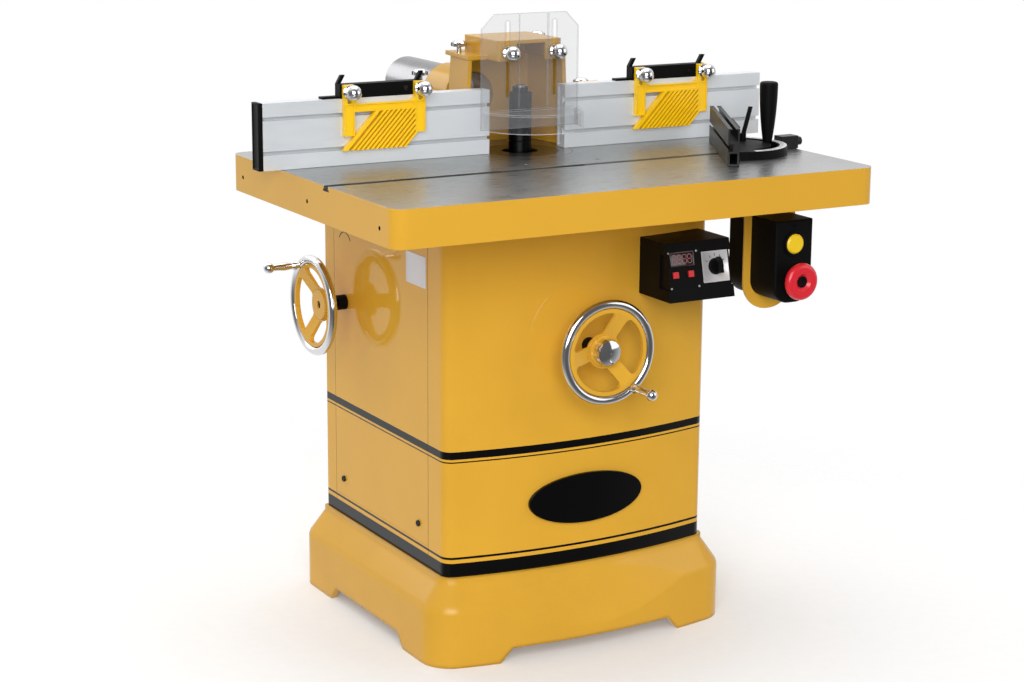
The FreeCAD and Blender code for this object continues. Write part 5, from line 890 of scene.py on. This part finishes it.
class MOULDER_OT_switch_trim(bpy.types.Operator):
    """Add the collar round the start button, the stop button's centre and the cover screw"""
    bl_idname = "moulder.switch_trim"
    bl_label = "Switch trim"

    def execute(self, context):
        across, height = front_middle("stop_button")
        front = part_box("stop_button")[0].y
        cap = dished("stop_cap_pattern", 0.0108, depth=0.0016, sides=40, rim=0.003, sink=0.0006, edge=0.0005)
        piece = copy_of(cap, "stop_centre", on_front(across, front + STOP_CENTRE_DEEP, height))
        hand_over(piece, "stop", "black")
        drop(cap)
        across, height = front_middle("start_button")
        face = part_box("switch_housing")[0].y - STAND_OFF
        collar = drum("collar_pattern", 0.0245, depth=0.0026, sides=56)
        pick_faces(collar, lambda normal: abs(normal.z) > FACING)
        bpy.ops.mesh.inset(thickness=0.0048, depth=0)
        bpy.ops.mesh.bridge_edge_loops()
        bpy.ops.object.mode_set(mode="OBJECT")
        soften(collar, 0.0006)
        piece = copy_of(collar, "start_collar", on_front(across, face, height))
        hand_over(piece, "frame", "black")
        drop(collar)
        screw = dished("cover_screw_pattern", 0.0034, depth=0.0012, sides=20, rim=0.0010, sink=0.0008,
                       edge=0.0003)
        piece = copy_of(screw, "cover_screw", on_front(across, face, COVER_SCREW_Z))
        hand_over(piece, "frame", "dark_steel")
        drop(screw)
        return {"FINISHED"}


def scale_mark(name, inner, end, half):
    """A mark of the mitre scale, from near its inner rim to an end."""
    return soften(block(name, (inner + SCALE_MARK_IN, -half, 0), (end, half, SCALE_MARK_THICK)), FINE_EDGE, 1)


class MOULDER_OT_mitre_scale(bpy.types.Operator):
    """Add the mitre gauge's silver scale with its marks"""
    bl_idname = "moulder.mitre_scale"
    bl_label = "Mitre scale"

    def execute(self, context):
        outer = context.scene.moulder_sizes.scale_out
        inner = outer - SCALE_WIDE
        arc = arc_strip("mitre_scale", inner, outer, SCALE_THICK, SCALE_REACH)
        piece = copy_of(arc, "mitre_scale_arc", at(MITRE_PIVOT, (0, 0, MITRE_FACING)))
        drop(arc)
        hand_over(piece, "mitre_gauge", "plate")
        short = scale_mark("scale_mark", inner, outer - 0.0055, half=0.00022)
        long = scale_mark("scale_long_mark", inner, outer - 0.0025, half=0.0003)
        middle = MITRE_PIVOT + Vector((0, 0, SCALE_MARK_UP))
        marks = []
        for degrees in SCALE_MARKS:
            pattern = short if degrees % LONG_MARK_EVERY else long
            turn = MITRE_FACING + math.radians(degrees)
            marks.append(copy_of(pattern, "scale_bar", at(middle, (0, 0, turn))))
        drop(short)
        drop(long)
        hand_over(join("mitre_scale_marks", marks), "mitre_gauge", "ink")
        return {"FINISHED"}


class MOULDER_OT_stage(bpy.types.Operator):
    """Set up the floor, the lights and the camera"""
    bl_idname = "moulder.stage"
    bl_label = "Stage"

    def execute(self, context):
        add_floor()
        context.scene.world = studio_world()
        for lamp in LAMPS:
            add_lamp(*lamp)
        context.scene.camera = add_camera()
        context.scene.view_settings.view_transform = "Standard"
        return {"FINISHED"}


def add_floor():
    """The pale floor, kept out of mirror reflections so that black paint stays black."""
    fresh()
    bpy.ops.mesh.primitive_circle_add(vertices=96, radius=FLOOR_RADIUS, fill_type="NGON",
                                      location=(0, 0, -FLOOR_DROP))
    floor = bpy.context.object
    floor.name = "floor"
    freeze(floor)
    floor.data.materials.append(floor_finish().material)
    floor.visible_glossy = False


def add_lamp(name, spot, size, power):
    """A soft square lamp aimed at the machine."""
    bpy.ops.object.light_add(type="AREA", location=spot)
    lamp = bpy.context.object
    lamp.name = f"lamp_{name}"
    lamp.data.size = size
    lamp.data.energy = power
    lamp.rotation_euler = (LAMP_AIM - Vector(spot)).to_track_quat("-Z", "Y").to_euler()


def add_camera():
    """The camera fitted to the photograph."""
    bpy.ops.object.camera_add()
    camera = bpy.context.object
    camera.matrix_world = CAMERA_PLACE
    for name, value in CAMERA_LENS.items():
        setattr(camera.data, name, value)
    return camera


def studio_world():
    """White to the camera and through the guard; a bright backdrop and a dim room in mirrors; soft as light."""
    world = bpy.data.worlds.new("studio")
    world.use_nodes = True
    nodes = Nodes(world.node_tree)
    back = nodes.tree.nodes["Background"]
    path = nodes.node("ShaderNodeLightPath").outputs
    way = nodes.split(nodes.node("ShaderNodeTexCoord").outputs["Generated"])
    room = nodes.spread(way["Y"], *ROOM_SHADE, *ROOM_DEPTH)
    light = nodes.spread(room, *LIGHT_SHADE, *ROOM_SHADE)
    mirrored = nodes.maths("MULTIPLY", room, nodes.spread(way["X"], *LEFT_SHADE, *LEFT_SPAN))
    unseen = nodes.choose(path["Is Glossy Ray"], light, mirrored)
    seen = nodes.maths("MAXIMUM", path["Is Camera Ray"], path["Is Transmission Ray"])
    back.inputs["Color"].default_value = (1, 1, 1, 1)
    nodes.feed(back.inputs["Strength"], nodes.choose(seen, unseen, 1.0))
    return world


PIECES = (MOULDER_OT_finishes, MOULDER_OT_end_cap, MOULDER_OT_guard_ribs, MOULDER_OT_panel_screws,
          MOULDER_OT_side_marks, MOULDER_OT_display, MOULDER_OT_selector_plate, MOULDER_OT_switch_trim,
          MOULDER_OT_mitre_scale, MOULDER_OT_stage)


class MOULDER_PT_panel(bpy.types.Panel):
    """Buttons for the finishes, the fittings and the stage"""
    bl_idname = "MOULDER_PT_panel"
    bl_label = "Moulder"
    bl_space_type = "VIEW_3D"
    bl_region_type = "UI"
    bl_category = "Moulder"

    def draw(self, context):
        for settings in (context.scene.moulder_colours, context.scene.moulder_sizes):
            for name in settings.__annotations__:
                self.layout.prop(settings, name)
        for piece in PIECES:
            self.layout.operator(piece.bl_idname)


CLASSES = (MoulderColours, MoulderSizes, *PIECES, MOULDER_PT_panel)


def register():
    for made in CLASSES:
        bpy.utils.register_class(made)
    bpy.types.Scene.moulder_colours = bpy.props.PointerProperty(type=MoulderColours)
    bpy.types.Scene.moulder_sizes = bpy.props.PointerProperty(type=MoulderSizes)


def unregister():
    del bpy.types.Scene.moulder_sizes
    del bpy.types.Scene.moulder_colours
    for made in reversed(CLASSES):
        bpy.utils.unregister_class(made)


def main():
    register()
    bpy.ops.moulder.finishes()
    bpy.ops.moulder.end_cap()
    bpy.ops.moulder.guard_ribs()
    bpy.ops.moulder.panel_screws()
    bpy.ops.moulder.side_marks()
    bpy.ops.moulder.display()
    bpy.ops.moulder.selector_plate()
    bpy.ops.moulder.switch_trim()
    bpy.ops.moulder.mitre_scale()
    bpy.ops.moulder.stage()


if __name__ == "__main__":
    main()
